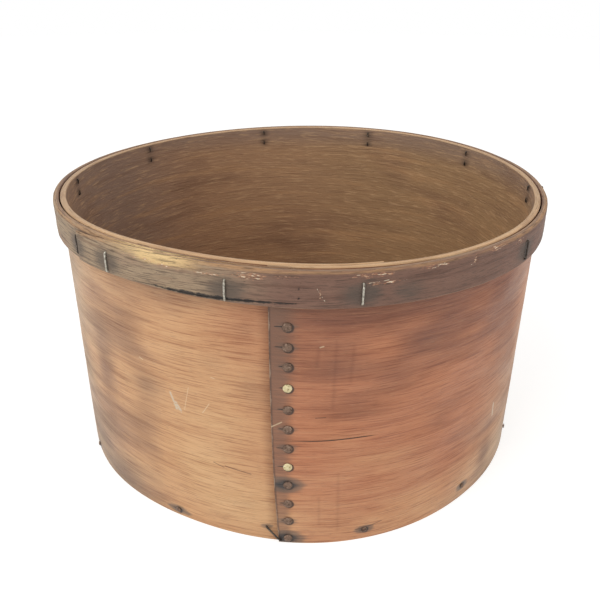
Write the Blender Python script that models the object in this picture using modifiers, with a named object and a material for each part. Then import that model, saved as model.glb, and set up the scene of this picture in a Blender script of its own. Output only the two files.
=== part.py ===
"""Round bentwood hat box, open at the top, as separate stapled, tacked and nailed pieces.

A thin sheet of wood is bent into a tall band and lapped at the front, where a row of tacks is
clinched through both layers. A narrow hoop is bent round its rim and stapled to it, and the band
is nailed round the edge of a solid bottom board. Lengths are metres, +Z is up, the front is -Y
and the origin is the centre of the underside. A bearing is an angle round the box, counted from
the front towards +X.
"""

from math import cos, hypot, pi, radians, sin, tau
from typing import Callable, NamedTuple

import bmesh
import bpy
from mathutils import Matrix, Vector

OBJECT_NAME = "hat_box"

# Band that makes the wall
BOX_HEIGHT = 0.2147
WALL_INNER_RADIUS = 0.1854
WALL_THICKNESS = 0.0047
WALL_END_THICKNESS = 0.0013
WALL_OUTER_END_BEARING = radians(-5.75)
WALL_OUTER_END_SLANT = 0.0050
WALL_LAP_LENGTH = 0.0700
WALL_SETTLE_LENGTH = 0.1000
WALL_FLAT_DEPTH = 0.0035
WALL_FLAT_BEARING = radians(-25.0)
WALL_FLAT_LENGTH = 0.1160
RIM_WARP = 0.0017
RIM_WARP_BEARING = radians(-35.0)

# Hoop round the rim
HOOP_HEIGHT = 0.0235
HOOP_THICKNESS = 0.0048
HOOP_END_THICKNESS = 0.0014
HOOP_STANDOFF = 0.0006
HOOP_OUTER_END_BEARING = radians(-49.0)
HOOP_LAP_LENGTH = 0.1630
HOOP_SETTLE_LENGTH = 0.1000
HOOP_RAMP_LENGTH = 0.1000
HOOP_TIP_DROP = 0.0025
HOOP_TIP_DROP_LENGTH = 0.0500
HOOP_CORNER_WEAR = 0.0008
HOOP_CORNER_DEPTH = 0.0026

# Bottom board
BOARD_THICKNESS = 0.0160

# Clearances between pieces that touch on the real box
LAYER_GAP = 0.0003
BOARD_GAP = 0.0003
SEAT_GAP = 0.0003
HOLE_CLEARANCE = 0.0003
HOLE_OVERRUN = 0.0030

# Tacks down the wall's seam
TACK_HEAD_RADIUS = 0.0031
TACK_HEAD_HEIGHT = 0.0016
TACK_SHANK_RADIUS = 0.00095
TACK_CLINCH_LENGTH = 0.0036
TACK_BEND_RADIUS = 0.0013
TACK_EDGE_DISTANCE = 0.0115
TACK_HOOP_DISTANCE = 0.0145
# The row was driven by eye: how much lower each tack, and the nail at its foot, sits than evenly
TACK_DRIFTS = (
    0.0016, 0.0002, -0.0015, -0.0013, -0.0005, -0.0006, -0.0006, -0.0007, -0.0007, 0.0003, 0.0005,
    0.0010,
)
TACK_COUNT = len(TACK_DRIFTS) - 1
BRASS_TACKS = (4, 8)

# Nails into the bottom board: a lift is a height above the middle of the board's thickness
NAIL_HEAD_RADIUS = 0.0021
NAIL_HEAD_HEIGHT = 0.0010
NAIL_SHANK_RADIUS = 0.0009
NAIL_LENGTH = 0.0250
NAIL_POINT_LENGTH = 0.0030
NAIL_LIFT = 0.0015
NAIL_BEARINGS = tuple(radians(a) for a in (95, 120, 145, 170, -165, -140, -115, -90))
FRONT_NAIL_PLACES = (
    (radians(-63.5), -0.0040),
    (radians(-28.8), -0.0026),
    (radians(14.15), 0.0007),
    (radians(41.5), 0.0032),
    (radians(69.5), 0.0032),
)
SEAM_NAIL_LIFT = -0.0022

# Staples through the hoop and the wall: bearing, and where the crown lies in the hoop's height,
# from -1 with its end at the hoop's upper edge to +1 with its end at the lower edge
STAPLE_WIRE_RADIUS = 0.00065
STAPLE_CROWN = 0.0145
STAPLE_BEND = 0.0010
STAPLE_CLINCH_LENGTH = 0.0028
STAPLE_HOOP_MARGIN = 0.0006
END_STAPLE_DISTANCE = 0.0028
STAPLE_PLACES = (
    (HOOP_OUTER_END_BEARING - END_STAPLE_DISTANCE / WALL_INNER_RADIUS, 0.44),
    (radians(-39.2), 0.97),
    (radians(-13.0), 0.95),
    (radians(10.6), 0.69),
    (radians(51.4), 0.59),
    (radians(85.0), -0.77),
    (radians(121.2), -0.33),
    (radians(157.5), -0.38),
    (radians(-167.6), -0.54),
    (radians(-127.0), -0.54),
    (radians(-89.5), -0.54),
)

# Staple that crosses the seam's lower end on the slant, into the bottom board
SEAM_STAPLE_TOP_BEARING = radians(-7.0)
SEAM_STAPLE_TOP_DEPTH = 0.0038
SEAM_STAPLE_FOOT_BEARING = radians(-3.7)
SEAM_STAPLE_FOOT_HEIGHT = 0.0019
SEAM_STAPLE_LEG_LENGTH = 0.0130

# Facets
WALL_COLUMNS = 120
WALL_SLANT_ROW = 0.3
HOOP_COLUMNS = 128
BOARD_SIDES = 128
HEAD_SIDES = 10
HOLE_SIDES = 8
WIRE_RESOLUTION = 1
SHARP_ANGLE = radians(65)


class Strip(NamedTuple):
    """A sheet bent once round the box, with its two ends thinned and lapped."""

    bed: Callable[[float], float]
    thickness: float
    end_thickness: float
    outer_end: Callable[[float], float]
    inner_end: float
    settle: float


def clamp(value):
    """The value held between 0 and 1."""
    return min(1.0, max(0.0, value))


def ease(value):
    """A share from 0 to 1, levelled off at both ends."""
    share = clamp(value)
    return share * share * (3.0 - 2.0 * share)


def strip_faces(strip, bearing, height):
    """Inner and outer radius at a bearing counted along the strip from its outer end."""
    start = strip.outer_end(height)
    lap = strip.inner_end - start
    over = clamp((bearing - start) / lap)
    under = clamp((bearing - tau - start) / lap)
    taper = strip.thickness - strip.end_thickness
    settled = ease((bearing - strip.inner_end) / strip.settle)
    lift = taper * (1.0 - over) + (strip.end_thickness + LAYER_GAP) * (1.0 - settled)
    inner = strip.bed(bearing) + lift
    return inner, inner + strip.thickness - taper * max(1.0 - over, under)


def outside_radius(strip, bearing, height):
    """Radius of the strip's outermost face at a bearing."""
    start = strip.outer_end(height)
    return strip_faces(strip, start + (bearing - start) % tau, height)[1]


def inside_radius(strip, bearing, height):
    """Radius of the strip's innermost face at a bearing."""
    start = strip.outer_end(height)
    along = start + (bearing - start) % tau
    if along < strip.inner_end:
        along += tau
    return strip_faces(strip, along, height)[0]


WALL_RADIUS = WALL_INNER_RADIUS + WALL_THICKNESS


def wall_outer_end(height):
    """Bearing of the wall's outer end, which runs off the upright towards the underside."""
    slant = WALL_OUTER_END_SLANT * clamp(1.0 - height / BOX_HEIGHT) ** 3
    return WALL_OUTER_END_BEARING + slant / WALL_RADIUS


def wall_bed(bearing):
    """Radius that the wall's inner face lies on: a circle, flattened beside the stiff lap."""
    off_centre = abs((bearing - WALL_FLAT_BEARING + pi) % tau - pi) * WALL_RADIUS
    return WALL_INNER_RADIUS - WALL_FLAT_DEPTH * ease(1.0 - off_centre / WALL_FLAT_LENGTH)


def rim_height(bearing):
    """Height of the rim, which has warped a little up and down twice round the box."""
    return BOX_HEIGHT + RIM_WARP * cos(2.0 * (bearing - RIM_WARP_BEARING))


WALL = Strip(
    bed=wall_bed,
    thickness=WALL_THICKNESS,
    end_thickness=WALL_END_THICKNESS,
    outer_end=wall_outer_end,
    inner_end=WALL_OUTER_END_BEARING + WALL_LAP_LENGTH / WALL_RADIUS,
    settle=WALL_SETTLE_LENGTH / WALL_RADIUS,
)


def hoop_bed(bearing):
    """Radius that the hoop's inner face lies on: the wall, and a ramp up to the wall's step."""
    step = WALL_END_THICKNESS + LAYER_GAP
    before_step = (WALL_OUTER_END_BEARING - bearing) % tau
    ramp = ease(1.0 - before_step * WALL_RADIUS / HOOP_RAMP_LENGTH)
    return outside_radius(WALL, bearing, BOX_HEIGHT) + HOOP_STANDOFF + step * ramp


HOOP = Strip(
    bed=hoop_bed,
    thickness=HOOP_THICKNESS,
    end_thickness=HOOP_END_THICKNESS,
    outer_end=lambda height: HOOP_OUTER_END_BEARING,
    inner_end=HOOP_OUTER_END_BEARING + HOOP_LAP_LENGTH / WALL_RADIUS,
    settle=HOOP_SETTLE_LENGTH / WALL_RADIUS,
)


def round_point(bearing, radius, height):
    """The point at a bearing, a distance from the box's axis and a height."""
    return Vector((radius * sin(bearing), -radius * cos(bearing), height))


def seat(bearing, radius, height):
    """Placement with Z pointing straight out of the wall and Y up."""
    along = Vector((cos(bearing), sin(bearing), 0.0))
    outward = Vector((sin(bearing), -cos(bearing), 0.0))
    turned = Matrix((along, Vector((0.0, 0.0, 1.0)), outward)).transposed()
    return Matrix.Translation(round_point(bearing, radius, height)) @ turned.to_4x4()


def new_material(name, color, roughness, metallic=0.0):
    """A Principled material of one colour."""
    material = bpy.data.materials.new(name)
    material.use_nodes = True
    shader = material.node_tree.nodes["Principled BSDF"]
    shader.inputs["Base Color"].default_value = (*color, 1.0)
    shader.inputs["Roughness"].default_value = roughness
    shader.inputs["Metallic"].default_value = metallic
    return material


def finish_mesh(bm, name):
    """A mesh from the bmesh, faces outward and shaded smooth but for its sharp edges."""
    bmesh.ops.recalc_face_normals(bm, faces=bm.faces)
    mesh = bpy.data.meshes.new(name)
    bm.to_mesh(mesh)
    bm.free()
    mesh.shade_smooth()
    mesh.set_sharp_from_angle(angle=SHARP_ANGLE)
    return mesh


def add_piece(name, mesh, collection, placement=None):
    """An object of the mesh, in the collection, at its placement."""
    piece = bpy.data.objects.new(name, mesh)
    collection.objects.link(piece)
    if placement is not None:
        piece.matrix_world = placement
    return piece


def evaluated_mesh(piece, name):
    """The piece as its modifiers or its curve shape it, as a mesh of its own."""
    graph = bpy.context.evaluated_depsgraph_get()
    mesh = bpy.data.meshes.new_from_object(piece.evaluated_get(graph))
    mesh.name = name
    bpy.data.objects.remove(piece)
    return mesh


def bent_strip(name, strip, columns, row_heights, corner_wear):
    """A flat blank bent round the box to the strip's shape, its upper outer corner worn off."""
    row_count = len(row_heights(strip.inner_end))
    start = strip.outer_end(BOX_HEIGHT)
    bm = bmesh.new()
    bmesh.ops.create_grid(bm, x_segments=columns, y_segments=row_count - 1, size=1.0)
    skin = bmesh.ops.extrude_face_region(bm, geom=bm.faces[:])
    outside = {part for part in skin["geom"] if isinstance(part, bmesh.types.BMVert)}
    for vert in bm.verts:
        share, row_share = (vert.co.x + 1.0) / 2.0, (vert.co.y + 1.0) / 2.0
        along = start + (strip.inner_end + tau - start) * share
        row = round(row_share * (row_count - 1))
        height = row_heights(along)[row]
        slant = strip.outer_end(height) - start
        along += slant * (1.0 - ease((along - start) / strip.settle))
        inner, outer = strip_faces(strip, along, height)
        if row == row_count - 1:
            outer -= corner_wear
        vert.co = round_point(along, outer if vert in outside else inner, height)
    bmesh.ops.triangulate(bm, faces=bm.faces)
    return finish_mesh(bm, name)


def turned_mesh(name, profile):
    """A solid turned about Z from a profile of (radius, height) that runs from top to point."""
    bm = bmesh.new()
    points = [bm.verts.new((radius, 0.0, height)) for radius, height in profile]
    for first, second in zip(points, points[1:]):
        bm.edges.new((first, second))
    outline = bpy.data.meshes.new(name)
    bm.to_mesh(outline)
    bm.free()
    piece = bpy.data.objects.new(name, outline)
    bpy.context.scene.collection.objects.link(piece)
    screw = piece.modifiers.new("turn", "SCREW")
    screw.steps = screw.render_steps = HEAD_SIDES
    screw.use_merge_vertices = True
    screw.merge_threshold = 0.00005
    return evaluated_mesh(piece, name)


def wire_mesh(name, points):
    """A round wire along the points, with its two ends drawn to blunt points."""
    curve = bpy.data.curves.new(name, "CURVE")
    curve.dimensions = "3D"
    curve.bevel_depth = STAPLE_WIRE_RADIUS
    curve.bevel_resolution = WIRE_RESOLUTION
    curve.use_fill_caps = True
    spline = curve.splines.new("POLY")
    spline.points.add(len(points) - 1)
    for index, point in enumerate(points):
        spline.points[index].co = (*point, 1.0)
    spline.points[0].radius = spline.points[-1].radius = 0.5
    piece = bpy.data.objects.new(name, curve)
    bpy.context.scene.collection.objects.link(piece)
    mesh = evaluated_mesh(piece, name)
    bm = bmesh.new()
    bm.from_mesh(mesh)
    bmesh.ops.remove_doubles(bm, verts=bm.verts, dist=0.00001)
    bpy.data.meshes.remove(mesh)
    return finish_mesh(bm, name)


def join_meshes(name, meshes):
    """One mesh that holds several closed shapes."""
    bm = bmesh.new()
    for mesh in meshes:
        bm.from_mesh(mesh)
        bpy.data.meshes.remove(mesh)
    return finish_mesh(bm, name)


def hole_mesh(placement, radius, low, high):
    """A cylinder along the placement's Z, from `low` to `high`, that drills one hole."""
    bm = bmesh.new()
    bmesh.ops.create_cone(
        bm,
        cap_ends=True,
        segments=HOLE_SIDES,
        radius1=radius,
        radius2=radius,
        depth=high - low,
        matrix=placement @ Matrix.Translation((0.0, 0.0, (low + high) / 2.0)),
    )
    return finish_mesh(bm, "hole")


def add_cutter(name, meshes, collection):
    """A hidden object that cuts holes."""
    cutter = add_piece(name, join_meshes(name, meshes), collection)
    cutter.hide_render = True
    cutter.display_type = "WIRE"
    return cutter


def cut(piece, cutter):
    """Cuts the cutter's holes in the piece."""
    boolean = piece.modifiers.new(cutter.name, "BOOLEAN")
    boolean.operation = "DIFFERENCE"
    boolean.solver = "EXACT"
    boolean.object = cutter


def dome(radius, height, rim):
    """Profile of a domed head from its top to its seat, over a straight rim."""
    return [
        (0.0, height),
        (radius * 0.55, height - (height - rim) * 0.25),
        (radius * 0.9, rim + (height - rim) * 0.3),
        (radius, rim),
        (radius, 0.0),
    ]


def clinched(point, bend_start):
    """The point of a straight shank's tip turned up past the depth where the bend starts."""
    past = -bend_start - point.z
    if past <= 0.0:
        return point
    turn = min(past / TACK_BEND_RADIUS, pi / 2.0)
    straight = past - turn * TACK_BEND_RADIUS
    arm = TACK_BEND_RADIUS - point.y
    up = TACK_BEND_RADIUS - arm * cos(turn) + straight * sin(turn)
    inward = arm * sin(turn) + straight * cos(turn)
    return Vector((point.x, up, -bend_start - inward))


def tack_mesh(depth):
    """A tack with a domed head, its point turned over `depth` behind the head's seat."""
    bend_start = depth + SEAT_GAP + TACK_SHANK_RADIUS - TACK_BEND_RADIUS
    length = bend_start + TACK_BEND_RADIUS * pi / 2.0 + TACK_CLINCH_LENGTH
    bend = TACK_BEND_RADIUS * pi / 2.0
    profile = dome(TACK_HEAD_RADIUS, TACK_HEAD_HEIGHT, TACK_HEAD_HEIGHT * 0.2)
    profile += [(TACK_SHANK_RADIUS, 0.0), (TACK_SHANK_RADIUS, -bend_start)]
    profile += [(TACK_SHANK_RADIUS, -bend_start - bend * share) for share in (1 / 3, 2 / 3, 1)]
    profile += [(TACK_SHANK_RADIUS * 0.8, -length + TACK_CLINCH_LENGTH / 2), (0.0, -length)]
    mesh = turned_mesh("seam_tack", profile)
    for vertex in mesh.vertices:
        vertex.co = clinched(vertex.co.copy(), bend_start)
    mesh.shade_smooth()
    mesh.set_sharp_from_angle(angle=SHARP_ANGLE)
    return mesh


def nail_mesh(name, head_radius, head_height):
    """A straight nail with a domed head and a pointed shank."""
    profile = dome(head_radius, head_height, head_height * 0.25)
    profile += [(NAIL_SHANK_RADIUS, 0.0), (NAIL_SHANK_RADIUS, NAIL_POINT_LENGTH - NAIL_LENGTH)]
    profile += [(0.0, -NAIL_LENGTH)]
    mesh = turned_mesh(name, profile)
    mesh.shade_smooth()
    mesh.set_sharp_from_angle(angle=SHARP_ANGLE)
    return mesh


def rim_staple_points(depth):
    """Centreline of an upright staple whose legs turn towards each other behind the wall."""
    lead = SEAT_GAP + STAPLE_WIRE_RADIUS
    reach = STAPLE_CROWN / 2.0 - STAPLE_WIRE_RADIUS
    half = [
        (0.0, reach - STAPLE_BEND - STAPLE_CLINCH_LENGTH, -depth - lead),
        (0.0, reach - STAPLE_BEND, -depth - lead),
        (0.0, reach, -depth - lead + STAPLE_BEND),
        (0.0, reach, lead - STAPLE_BEND),
        (0.0, reach - STAPLE_BEND, lead),
    ]
    return half + [(x, -y, z) for x, y, z in reversed(half)]


def seam_staple_ends():
    """Bearing and height of the slanting staple's two legs."""
    top = (SEAM_STAPLE_TOP_BEARING, BOARD_THICKNESS - SEAM_STAPLE_TOP_DEPTH)
    return top, (SEAM_STAPLE_FOOT_BEARING, SEAM_STAPLE_FOOT_HEIGHT)


def seam_staple_points():
    """Centreline of the slanting staple, whose crown kinks where it climbs the seam's step."""
    lead = SEAT_GAP + STAPLE_WIRE_RADIUS
    (top_bearing, top_height), (foot_bearing, foot_height) = seam_staple_ends()
    turn, drop = foot_bearing - top_bearing, foot_height - top_height
    crown = hypot(turn * WALL_RADIUS, drop)

    def crown_point(share, seat_radius, lift):
        bearing, height = top_bearing + turn * share, top_height + drop * share
        return round_point(bearing, seat_radius + lift, height)

    top_seat = outside_radius(WALL, top_bearing, top_height)
    foot_seat = outside_radius(WALL, foot_bearing, foot_height)
    step_share = (wall_outer_end(foot_height) - top_bearing) / turn - lead / crown
    bend_share = STAPLE_BEND / crown
    return [
        crown_point(0.0, top_seat, -SEAM_STAPLE_LEG_LENGTH),
        crown_point(0.0, top_seat, lead - STAPLE_BEND),
        crown_point(bend_share, top_seat, lead),
        crown_point(step_share, foot_seat, lead),
        crown_point(1.0 - bend_share, foot_seat, lead),
        crown_point(1.0, foot_seat, lead - STAPLE_BEND),
        crown_point(1.0, foot_seat, -SEAM_STAPLE_LEG_LENGTH),
    ]


def build_rim_staples(collection, metal):
    """The staples that hold the hoop to the wall; returns the holes for their legs."""
    holes = []
    reach = STAPLE_CROWN / 2.0 - STAPLE_WIRE_RADIUS
    hole_radius = STAPLE_WIRE_RADIUS + HOLE_CLEARANCE
    for number, (bearing, drop) in enumerate(STAPLE_PLACES, start=1):
        spare = (HOOP_HEIGHT - STAPLE_CROWN) / 2.0 - STAPLE_HOOP_MARGIN
        height = rim_height(bearing) - HOOP_HEIGHT / 2.0 - spare * drop
        face = outside_radius(HOOP, bearing, height)
        depth = face - inside_radius(WALL, bearing, height)
        placement = seat(bearing, face, height)
        mesh = wire_mesh("rim_staple", rim_staple_points(depth))
        mesh.materials.append(metal)
        add_piece(f"rim_staple_{number:02d}", mesh, collection, placement)
        for side in (reach, -reach):
            leg = placement @ Matrix.Translation((0.0, side, 0.0))
            holes.append(hole_mesh(leg, hole_radius, -depth - HOLE_OVERRUN, HOLE_OVERRUN))
    return holes


def seam_row():
    """Bearing of the row of heads down the seam, and their heights from the top to the nail."""
    bearing = WALL_OUTER_END_BEARING + TACK_EDGE_DISTANCE / WALL_RADIUS
    top = rim_height(bearing) - HOOP_HEIGHT - TACK_HOOP_DISTANCE
    foot = BOARD_THICKNESS / 2.0 + SEAM_NAIL_LIFT
    pitch = (top - foot) / TACK_COUNT
    return bearing, [top - pitch * number - drift for number, drift in enumerate(TACK_DRIFTS)]


def build_seam_tacks(collection, iron, brass):
    """The clinched tacks down the wall's lap; returns their holes."""
    holes = []
    bearing, heights = seam_row()
    face = outside_radius(WALL, bearing, BOX_HEIGHT)
    depth = face - inside_radius(WALL, bearing, BOX_HEIGHT)
    iron_mesh = tack_mesh(depth + SEAT_GAP)
    iron_mesh.materials.append(iron)
    brass_mesh = iron_mesh.copy()
    brass_mesh.materials.clear()
    brass_mesh.materials.append(brass)
    for number, height in enumerate(heights[:-1], start=1):
        placement = seat(bearing, face + SEAT_GAP, height)
        mesh = brass_mesh if number in BRASS_TACKS else iron_mesh
        add_piece(f"seam_tack_{number:02d}", mesh, collection, placement)
        low = -depth - HOLE_OVERRUN
        holes.append(hole_mesh(placement, TACK_SHANK_RADIUS + HOLE_CLEARANCE, low, HOLE_OVERRUN))
    return holes


def build_board_fasteners(collection, iron):
    """The nails and the slanting staple driven into the bottom board; returns their holes."""
    holes = []
    bearing, heights = seam_row()
    places = [("seam_nail", bearing, heights[-1])]
    nail_places = FRONT_NAIL_PLACES + tuple((bearing, NAIL_LIFT) for bearing in NAIL_BEARINGS)
    for number, (bearing, lift) in enumerate(nail_places, start=1):
        places.append((f"bottom_nail_{number:02d}", bearing, BOARD_THICKNESS / 2.0 + lift))
    nail = nail_mesh("bottom_nail", NAIL_HEAD_RADIUS, NAIL_HEAD_HEIGHT)
    nail.materials.append(iron)
    seam_nail = nail_mesh("seam_nail", TACK_HEAD_RADIUS, TACK_HEAD_HEIGHT)
    seam_nail.materials.append(iron)
    for name, bearing, height in places:
        face = outside_radius(WALL, bearing, height)
        placement = seat(bearing, face + SEAT_GAP, height)
        mesh = seam_nail if name == "seam_nail" else nail
        add_piece(name, mesh, collection, placement)
        low = -NAIL_LENGTH - HOLE_CLEARANCE
        holes.append(hole_mesh(placement, NAIL_SHANK_RADIUS + HOLE_CLEARANCE, low, HOLE_OVERRUN))
    staple = wire_mesh("seam_staple", seam_staple_points())
    staple.materials.append(iron)
    add_piece("seam_staple", staple, collection)
    for bearing, height in seam_staple_ends():
        placement = seat(bearing, outside_radius(WALL, bearing, height), height)
        low = -SEAM_STAPLE_LEG_LENGTH - HOLE_CLEARANCE
        holes.append(
            hole_mesh(placement, STAPLE_WIRE_RADIUS + HOLE_CLEARANCE, low, HOLE_OVERRUN)
        )
    return holes


def wall_rows(along):
    """Heights of the wall's rows of points, closer together where its outer end slants."""
    return [0.0, BOX_HEIGHT * WALL_SLANT_ROW, rim_height(along)]


def hoop_rows(along):
    """Heights of the hoop's rows of points; its outer end's tip droops a little."""
    past_tip = (along - HOOP_OUTER_END_BEARING) * WALL_RADIUS / HOOP_TIP_DROP_LENGTH
    top = rim_height(along) - HOOP_TIP_DROP * (1.0 - ease(past_tip))
    return [rim_height(along) - HOOP_HEIGHT, top - HOOP_CORNER_DEPTH, top]


def board_outline():
    """The board's edge, which follows the inside of the wall and steps round its inner end."""
    outline = [(WALL.inner_end, inside_radius(WALL, WALL.inner_end - BOARD_GAP, 0.0))]
    for side in range(BOARD_SIDES):
        bearing = WALL.inner_end + BOARD_GAP / WALL_INNER_RADIUS + tau * side / BOARD_SIDES
        outline.append((bearing, inside_radius(WALL, bearing, 0.0)))
    return [round_point(bearing, radius - BOARD_GAP, 0.0) for bearing, radius in outline]


def build_board(collection, wood):
    """The solid round board that closes the underside, flush with the wall's lower edge."""
    outline = board_outline()
    curve = bpy.data.curves.new("bottom_board", "CURVE")
    curve.dimensions = "2D"
    curve.fill_mode = "BOTH"
    curve.extrude = BOARD_THICKNESS / 2.0
    spline = curve.splines.new("POLY")
    spline.points.add(len(outline) - 1)
    for index, point in enumerate(outline):
        spline.points[index].co = (*point, 1.0)
    spline.use_cyclic_u = True
    piece = bpy.data.objects.new("bottom_board", curve)
    bpy.context.scene.collection.objects.link(piece)
    mesh = evaluated_mesh(piece, "bottom_board")
    bm = bmesh.new()
    bm.from_mesh(mesh)
    bmesh.ops.remove_doubles(bm, verts=bm.verts, dist=0.00001)
    bpy.data.meshes.remove(mesh)
    mesh = finish_mesh(bm, "bottom_board")
    mesh.materials.append(wood)
    placement = Matrix.Translation((0.0, 0.0, BOARD_THICKNESS / 2.0))
    return add_piece("bottom_board", mesh, collection, placement)


def build_box():
    """Builds the hat box."""
    for piece in list(bpy.data.objects):
        bpy.data.objects.remove(piece)
    pieces = bpy.data.collections.new(OBJECT_NAME)
    cutters = bpy.data.collections.new(OBJECT_NAME + "_cutters")
    for collection in (pieces, cutters):
        bpy.context.scene.collection.children.link(collection)

    wall_wood = new_material("wall_wood", (0.42, 0.20, 0.10), 0.6)
    hoop_wood = new_material("hoop_wood", (0.16, 0.10, 0.065), 0.75)
    board_wood = new_material("board_wood", (0.30, 0.17, 0.09), 0.7)
    iron = new_material("aged_iron", (0.045, 0.035, 0.03), 0.6, 0.6)
    brass = new_material("pale_brass", (0.60, 0.50, 0.32), 0.45, 0.5)
    wire = new_material("staple_wire", (0.07, 0.065, 0.06), 0.5, 0.8)

    wall_mesh = bent_strip("wall_band", WALL, WALL_COLUMNS, wall_rows, 0.0)
    wall_mesh.materials.append(wall_wood)
    wall = add_piece("wall_band", wall_mesh, pieces)
    hoop_mesh = bent_strip("rim_hoop", HOOP, HOOP_COLUMNS, hoop_rows, HOOP_CORNER_WEAR)
    hoop_mesh.materials.append(hoop_wood)
    hoop = add_piece("rim_hoop", hoop_mesh, pieces)
    board = build_board(pieces, board_wood)

    rim_holes = add_cutter("rim_staple_holes", build_rim_staples(pieces, wire), cutters)
    seam_holes = add_cutter("seam_tack_holes", build_seam_tacks(pieces, iron, brass), cutters)
    board_holes = add_cutter("board_holes", build_board_fasteners(pieces, iron), cutters)
    for cutter in (rim_holes, seam_holes, board_holes):
        cut(wall, cutter)
    cut(hoop, rim_holes)
    cut(board, board_holes)


build_box()
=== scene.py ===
"""Dresses the round bentwood hat box: bent sheets, bottom board, fasteners, floor, light and camera.

Lengths are metres, +Z is up and the front is -Y. A bearing is an angle round the box, counted
from the front towards +X. A sheet is followed from its outer end, over the lap, round the box to
its inner end, which lies under the outer one.
"""

from math import cos, hypot, pi, radians, sin, tau

import bmesh
import bpy
import numpy as np
from bpy.props import FloatProperty, FloatVectorProperty, PointerProperty
from bpy.types import Operator, Panel, PropertyGroup
from mathutils import Matrix, Vector


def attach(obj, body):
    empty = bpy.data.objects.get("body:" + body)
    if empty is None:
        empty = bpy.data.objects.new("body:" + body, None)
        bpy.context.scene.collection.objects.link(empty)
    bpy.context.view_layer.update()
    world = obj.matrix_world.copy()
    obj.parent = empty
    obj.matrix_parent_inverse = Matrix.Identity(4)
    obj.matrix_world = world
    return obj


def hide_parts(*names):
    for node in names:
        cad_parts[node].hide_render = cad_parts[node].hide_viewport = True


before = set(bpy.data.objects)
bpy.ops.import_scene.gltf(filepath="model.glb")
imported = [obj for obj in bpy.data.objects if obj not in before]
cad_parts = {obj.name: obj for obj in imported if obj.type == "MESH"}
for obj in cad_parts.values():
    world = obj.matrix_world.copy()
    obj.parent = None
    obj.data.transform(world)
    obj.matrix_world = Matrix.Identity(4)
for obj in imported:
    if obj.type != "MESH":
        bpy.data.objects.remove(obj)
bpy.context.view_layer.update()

bl_info = {
    "name": "Bentwood Hat Box",
    "version": (1, 0, 0),
    "blender": (4, 5, 0),
    "location": "3D Viewport > Sidebar > Hat Box",
    "description": "Builds an old round bentwood hat box, piece by piece, with its floor and light",
    "category": "Add Mesh",
}

BODY = "root"
MM = 0.001

# Rim staples: bearing in degrees, and where the crown lies in the hoop's height, from -1 with its
# end at the upper edge to +1 with its end at the lower edge
RIM_STAPLES = (
    (-49.865, 0.44), (-39.2, 0.97), (-13.0, 0.95), (10.6, 0.69), (51.4, 0.59), (85.0, -0.77),
    (121.2, -0.33), (157.5, -0.38), (-167.6, -0.54), (-127.0, -0.54), (-89.5, -0.54),
)
BRIGHT_STAPLES = (2, 3, 4)

# Nails: bearing in degrees and lift above the middle of the board's thickness in millimetres
BOARD_NAILS = (
    (-63.5, -4.0), (-28.8, -2.6), (14.15, 0.7), (41.5, 3.2), (69.5, 3.2), (95.0, 1.5), (120.0, 1.5),
    (145.0, 1.5), (170.0, 1.5), (-165.0, 1.5), (-140.0, 1.5), (-115.0, 1.5), (-90.0, 1.5),
)
SEAM_NAIL_LIFT = -2.2

# Slanting staple across the seam: bearing in degrees of its upper and lower end, how far the upper
# end lies below the board's top and the lower end above its underside, and its legs' length
SEAM_STAPLE_BEARINGS = (-7.0, -3.7)
SEAM_STAPLE_DROP = 3.8 * MM
SEAM_STAPLE_RISE = 1.9 * MM
SEAM_STAPLE_LEG = 13.0 * MM

BRASS_TACKS = (4, 8)

# How much lower each head of the seam's row sits than evenly, in millimetres, and its iron stain
TACK_DRIFTS = (1.6, 0.2, -1.5, -1.3, -0.5, -0.6, -0.6, -0.7, -0.7, 0.3, 0.5, 1.0)
TACK_STAINS = (0.30, 0.32, 0.30, 0.20, 0.28, 0.34, 0.36, 0.20, 1.0, 0.30, 0.38, 1.0)

# Long crack beside the seam: bearings in degrees, its rise in millimetres and how open it is
CRACK_HEIGHT = 0.0906
CRACK_BEARINGS = (-6.0, -2.5, 0.5, 4.8, 8.9, 13.0, 16.5, 24.0)
CRACK_RISE = (0.0, 0.0, 0.1, 0.4, 0.9, 1.2, 1.1, 0.0)
CRACK_OPEN = (0.35, 0.3, 0.45, 0.95, 1.0, 0.8, 0.0, 0.0)

# Splits that run from each head of the row towards the sheet's end, in millimetres
SPLIT_LENGTHS = (5.4, 5.2, 3.0, 2.5, 4.0, 3.5, 5.0, 4.5, 4.0, 3.0, 2.0, 3.0)

# Iron stains that no head covers, and the holes and stain that old staples left in the hoop:
# bearing in degrees, then height and size in millimetres, and strength
WALL_STAINS = (
    (-6.9, 12.0, 2.6, 0.6), (-4.2, 3.0, 2.6, 0.5), (-30.8, 5.4, 2.6, 0.5), (-26.6, 4.6, 2.4, 0.5),
)
HOOP_HOLES = ((-0.2, 204.4, 0.8, 1.0), (-0.2, 198.5, 0.8, 1.0))
HOOP_STAINS = ((19.0, 198.5, 9.0, 0.45),)

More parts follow.
